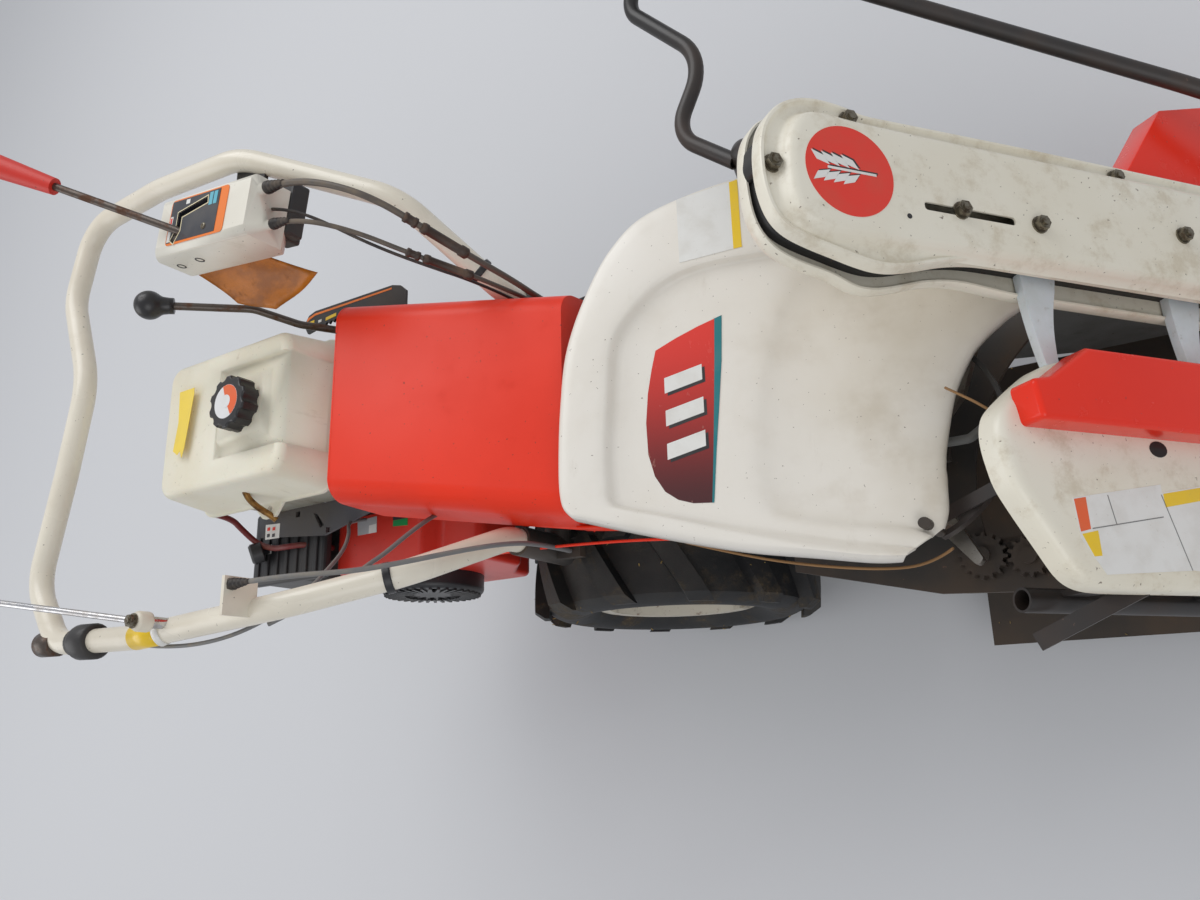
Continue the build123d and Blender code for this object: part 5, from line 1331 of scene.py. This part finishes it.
GATE_TOP = 574
notches = [(-379 + 9 * step + shift, 131 + 0.4 * step + dip) for step in range(7)
           for shift, dip in [(0, 0), (3, 4), (6, 4)]]
gate_outline = [(-398, 128), (-403, 136), (-404, 148), (-398, 157), (-384, 161), (-225, 157), (-209, 152),
                (-198, 142), (-198, 112), (-300, 112)] + [(x, y) for x, y in reversed(notches)]
gate = stuck("gate_sheet", gate_outline, -3.4, gate_black, level(GATE_TOP), 3.4)
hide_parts("shift_gate")
block_piece("gate_strut", (-325, 84, 520), (-300, 88, 571), gate_black, 0.001)
block_piece("gate_arm", (-325, 84, 567), (-300, 124, 571), gate_black, 0.001)
for index, (places, tint) in enumerate([
    ([(-402, 146), (-400, 153), (-384, 157), (-226, 153.4), (-226, 150.8), (-384, 153.6), (-396, 150)],
     panel_orange),
    ([(-360, 139), (-338, 141), (-338, 146), (-360, 144)], plate_yellow),
    ([(-376, 140), (-369, 140), (-369, 144), (-376, 144)], plate_white),
    ([(-396, 138), (-385, 139), (-385, 147), (-396, 146)], plate_yellow),
]):
    stuck(f"gate_print_{index}", places, 0, tint, level(GATE_TOP))

amber = layered("amber_vinyl", (150, 84, 10), [
    ((0.05, 4, 0.6, (1, 2.5, 1)), (0.35, 0.7), 1, (190, 110, 18), 0),
    ((0.02, 5, 0.7), (0.55, 0.75), 0.5, (90, 52, 24), 0.25),
], 0.34, (0.012, 4, 0.7), 0.0006, specular_ior_level=0.3)
FLAP_TOP = [(-429, 168, 745), (-370, 178, 745), (-302, 158, 752)]
FLAP_FOOT = [(-391, 128, 700), (-318, 102, 690), (-222, 121, 705)]


def flap_row(share, steps=16):
    """Points across the flap, a share of the way from its hung edge to its free one."""
    row = []
    for step in range(steps + 1):
        across = 2 * step / steps
        side = min(int(across), 1)
        part = across - side
        top = at(*FLAP_TOP[side]).lerp(at(*FLAP_TOP[side + 1]), part)
        foot = at(*FLAP_FOOT[side]).lerp(at(*FLAP_FOOT[side + 1]), part)
        sag = 0.008 * math.sin(math.pi * share) + 0.003 * math.sin(5 * across) * share
        row.append(top.lerp(foot, share) - UP * sag)
    return row


formed("amber_flap", [flap_row(share / 8) for share in range(9)], False, amber, wall=0.0014)

# Engine bay
# The tank's bracket with its holes and bare sticker, a ribbed lid and choke knob on the air
# cleaner, bare labels on the shroud, thin cables, and the tank's brown outlet elbow and tape.
bracket_grey = enamel("bracket_grey_paint", (64, 66, 72), (96, 84, 66), 0.4, 0.46, 0.08)
BRACKET_TOP = 520
bracket = skinned(skin("tank_bracket"), "bracket_sheet", "tank_bracket", bracket_grey)
for hole in [
    oblong(-465, -456, -131, -122), oblong(-408, -400, -118, -110),
    [(-426, -130), (-418, -132), (-402, -151), (-410, -154)], oblong(-397, -389, -163, -155),
]:
    holed(bracket, stuck("hole_cutter", hole, -12, bracket_grey, level(BRACKET_TOP), 24))
BRACKET_STICKER = [(-533, -133), (-500, -135), (-500, -157), (-532, -156)]
stuck("bracket_sticker", BRACKET_STICKER, 0, plate_white, level(BRACKET_TOP))
for index, (x, y, tint) in enumerate([(-528, -138, sticker_red), (-516, -139, sticker_red),
                                      (-528, -148, panel_and_slot_shade_black), (-516, -149, panel_and_slot_shade_black)]):
    stuck(f"bracket_sticker_mark_{index}", oblong(x, x + 6, y, y - 5), 0.5, tint,
          level(BRACKET_TOP))
block_piece("cleaner_lid", (-592, -219, 478), (-429, -106, 494), black_plastic, 0.005)
for index in range(7):
    rear = -582 + 22 * index
    block_piece(f"cleaner_rib_{index}", (rear, -214, 493), (rear + 8, -112, 497), black_plastic,
                0.0015)
stuck("cleaner_label", oblong(-562, -546, -158, -172), 3.2, plate_white, level(494))
CHOKE_RIBS = [(10 + step, 16.5 - 0.9 * (step % 2)) for step in range(16)]
CHOKE = [(0, 6), (8, 6), (9, 15), *CHOKE_RIBS, (28, 13)]
turned_fixing("choke_knob", at(-548, -166, 500), Vector((-0.62, -0.35, 0.7)), CHOKE, black_plastic)
silver = film("silver_label", (176, 176, 178), (140, 130, 118), 0.3)
label_green = film("green_label", (28, 140, 74), (60, 110, 80), 0.3)
SHROUD_TOP = 466.3
for name, places, tint in [
    ("shroud_silver_label", [(-391, -138), (-351, -136), (-350, -160), (-389, -160)], silver),
    ("shroud_white_label", [(-366, -148), (-351, -147), (-350, -160), (-366, -160)], plate_white),
    ("shroud_dark_label", [(-318, -137), (-286, -139), (-288, -147), (-317, -147)], panel_and_slot_shade_black),
    ("shroud_green_label", [(-317, -147.5), (-288, -147.5), (-288, -158), (-317, -156)], label_green),
]:
    stuck(name, places, 0.2 if tint is plate_white else 0, tint, level(SHROUD_TOP))
THROTTLE_ROUTE = [(-548, -312, 758), (-500, -326, 752), (-424, -336, 746), (-353, -339, 744),
                  (-287, -332, 738), (-240, -312, 722), (-207, -286, 704), (-208, -258, 676),
                  (-244, -222, 620), (-291, -186, 570), (-340, -160, 530), (-362, -147, 500),
                  (-366, -140, 474)]
BRAKE_ROUTE = [(-240, -322, 728), (-200, -304, 712), (-168, -284, 700), (-154, -276, 690),
               (-147, -258, 670), (-139, -242, 650), (-134, -214, 618), (-137, -186, 576),
               (-150, -166, 530), (-176, -156, 480), (-190, -152, 441)]
THIN_ROUTE = [(-215, 172, 786), (-190, 165, 783), (-156, 149, 764), (-118, 124, 730), (-92, 110, 700),
               (-66, 100, 660), (-48, 96, 620), (-36, 94, 560), (-34, 93, 500), (-34, 93, 462)]
routed("throttle_cable", THROTTLE_ROUTE, 5, grey_cover, 686, in_frame=False)
routed("brake_cable", BRAKE_ROUTE, 5.5, grey_cover, 402, in_frame=False)
routed("thin_box_cable", THIN_ROUTE, 4, black_cover, 418, in_frame=False)
brass_brown = layered("brown_brass", (150, 112, 60), [
    ((0.01, 4), (0.4, 0.7), 1, (92, 62, 34), 0.3),
], 0.32, metallic=0.8)
ELBOW = [(-410, -112, 656), (-410, -128, 650), (-412, -138, 636), (-410, -146, 620), (-404, -152, 610),
         (-400, -158, 604)]


def bent_rod(name, route, radius, material):
    """A rod or wire bent along points, as a mesh that stays put."""
    line = bpy.data.objects.new(name + "_line", piped(name, route, 2 * radius, 6, 3))
    bpy.context.scene.collection.objects.link(line)
    bpy.context.view_layer.update()
    mesh = bpy.data.meshes.new_from_object(line.evaluated_get(bpy.context.evaluated_depsgraph_get()))
    bpy.data.objects.remove(line)
    piece = linked(name, mesh, material)
    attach(piece, "chassis")
    return piece


bent_rod("outlet_elbow", ELBOW, 4.5, brass_brown)
tape = film("yellow_tape", (244, 214, 84), (206, 176, 104), 0.5)
TAPE_EDGE = [(-507, 24), (-503, -22), (-509, -62), (-499, -69), (-493, -64), (-488, -75), (-484, -62),
             (-478, -22), (-473, 16), (-474, 24)]
stuck("tank_tape", TAPE_EDGE, 0, tape, level(699.2))
cap_white = film("cap_sticker_white", (226, 226, 226), (190, 184, 172), 0.3)
CAP_MIDDLE, CAP_TOP = (-365, -26), 722.7
for name, outline, over, tint, slot in [
    ("cap_sticker", oval(CAP_MIDDLE, (23, 23), 40), 0, cap_white, "cover_white"),
    ("cap_sticker_orange", oval(CAP_MIDDLE, (22.6, 22.6), 40, -60, 110), 0.25, plate_orange, "guard_red"),
    ("cap_sticker_middle", oval(CAP_MIDDLE, (9, 9), 40), 0.5, cap_white, "cover_white"),
]:
    stuck(name, outline, over, tint, level(CAP_TOP))

# Hood's strip and twine
# A red strip runs under the hood's and cover's right edge, and loose ends of twine show under the
# cover and at a post.
STRIP_ROUTE = [(-150, -226, 500), (-60, -226, 496), (60, -230, 488), (150, -236, 480), (212, -243, 472)]
TWINE_ROUTE = [(150, -236, 448), (218, -258, 430), (290, -276, 424), (370, -290, 424), (425, -292, 432),
               (452, -280, 446)]
POST_ROUTE = [(470, -120, 470), (486, -135, 486), (506, -152, 494), (523, -168, 490)]
bent_rod("hood_lower_strip", STRIP_ROUTE, 1.8, hood_enamel)
twine = enamel("sisal_twine", (150, 112, 70), (96, 72, 48), 0.4, 0.8)
bent_rod("cover_twine", TWINE_ROUTE, 1.6, twine)
bent_rod("post_twine", POST_ROUTE, 1.4, twine)

# Knotter, guards and knife
# Black painted bars and greasy dark steel parts hold, gather and tie the bundle. The knife and
# the discharge arms are worn bright.
dress(black_paint, "bundle_guide", "right_frame", "bundle_springs", "left_post", "guard_rail")
dress(dark_steel, "knotter_gears")
dress(bare_steel, "knife", "knotter_shaft", "discharge_arms", "needle")

# Chaff
# Short bits of straw and dry soil cling between the tyres' lugs and lie on the platform.
straw = layered("dry_straw", (178, 150, 88), [((0.01, 3), (0.4, 0.7), 1, (108, 86, 54), 0.15)], 0.75)
chaff_tree = Tree("chaff", density="Float", turning="Float")
seeds = chaff_tree.node("GeometryNodeDistributePointsOnFaces", {}, {
    "Mesh": chaff_tree.start["Geometry"], "Density": chaff_tree.start["density"], "Seed": 35,
})
stalk = chaff_tree.node("GeometryNodeMeshCube", {}, {"Size": (0.009, 0.0014, 0.0008)})
full_turn = chaff_tree.node("ShaderNodeCombineXYZ", {}, {
    "X": chaff_tree.start["turning"], "Y": chaff_tree.start["turning"], "Z": chaff_tree.start["turning"],
})
tumbled = chaff_tree.node("FunctionNodeRandomValue", {"data_type": "FLOAT_VECTOR"}, {"Max": full_turn})
shrunk = chaff_tree.node("FunctionNodeRandomValue", {"data_type": "FLOAT"}, {2: 0.4, 3: 1.2})
laid = chaff_tree.node("GeometryNodeInstanceOnPoints", {}, {
    "Points": seeds, "Instance": stalk, "Rotation": tumbled, "Scale": shrunk,
})
chaff_tree.ends_with(laid, straw)
for node, body, density in [("tyre_right", "wheel_right", 160.0), ("tyre_left", "wheel_left", 160.0),
                            ("platform", "chassis", 260.0)]:
    carrier = bpy.data.objects.new(node + "_chaff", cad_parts[node].data.copy())
    bpy.context.scene.collection.objects.link(carrier)
    chaff_tree.grown_on(carrier, body, "nylon_white", density=density, turning=2 * math.pi)
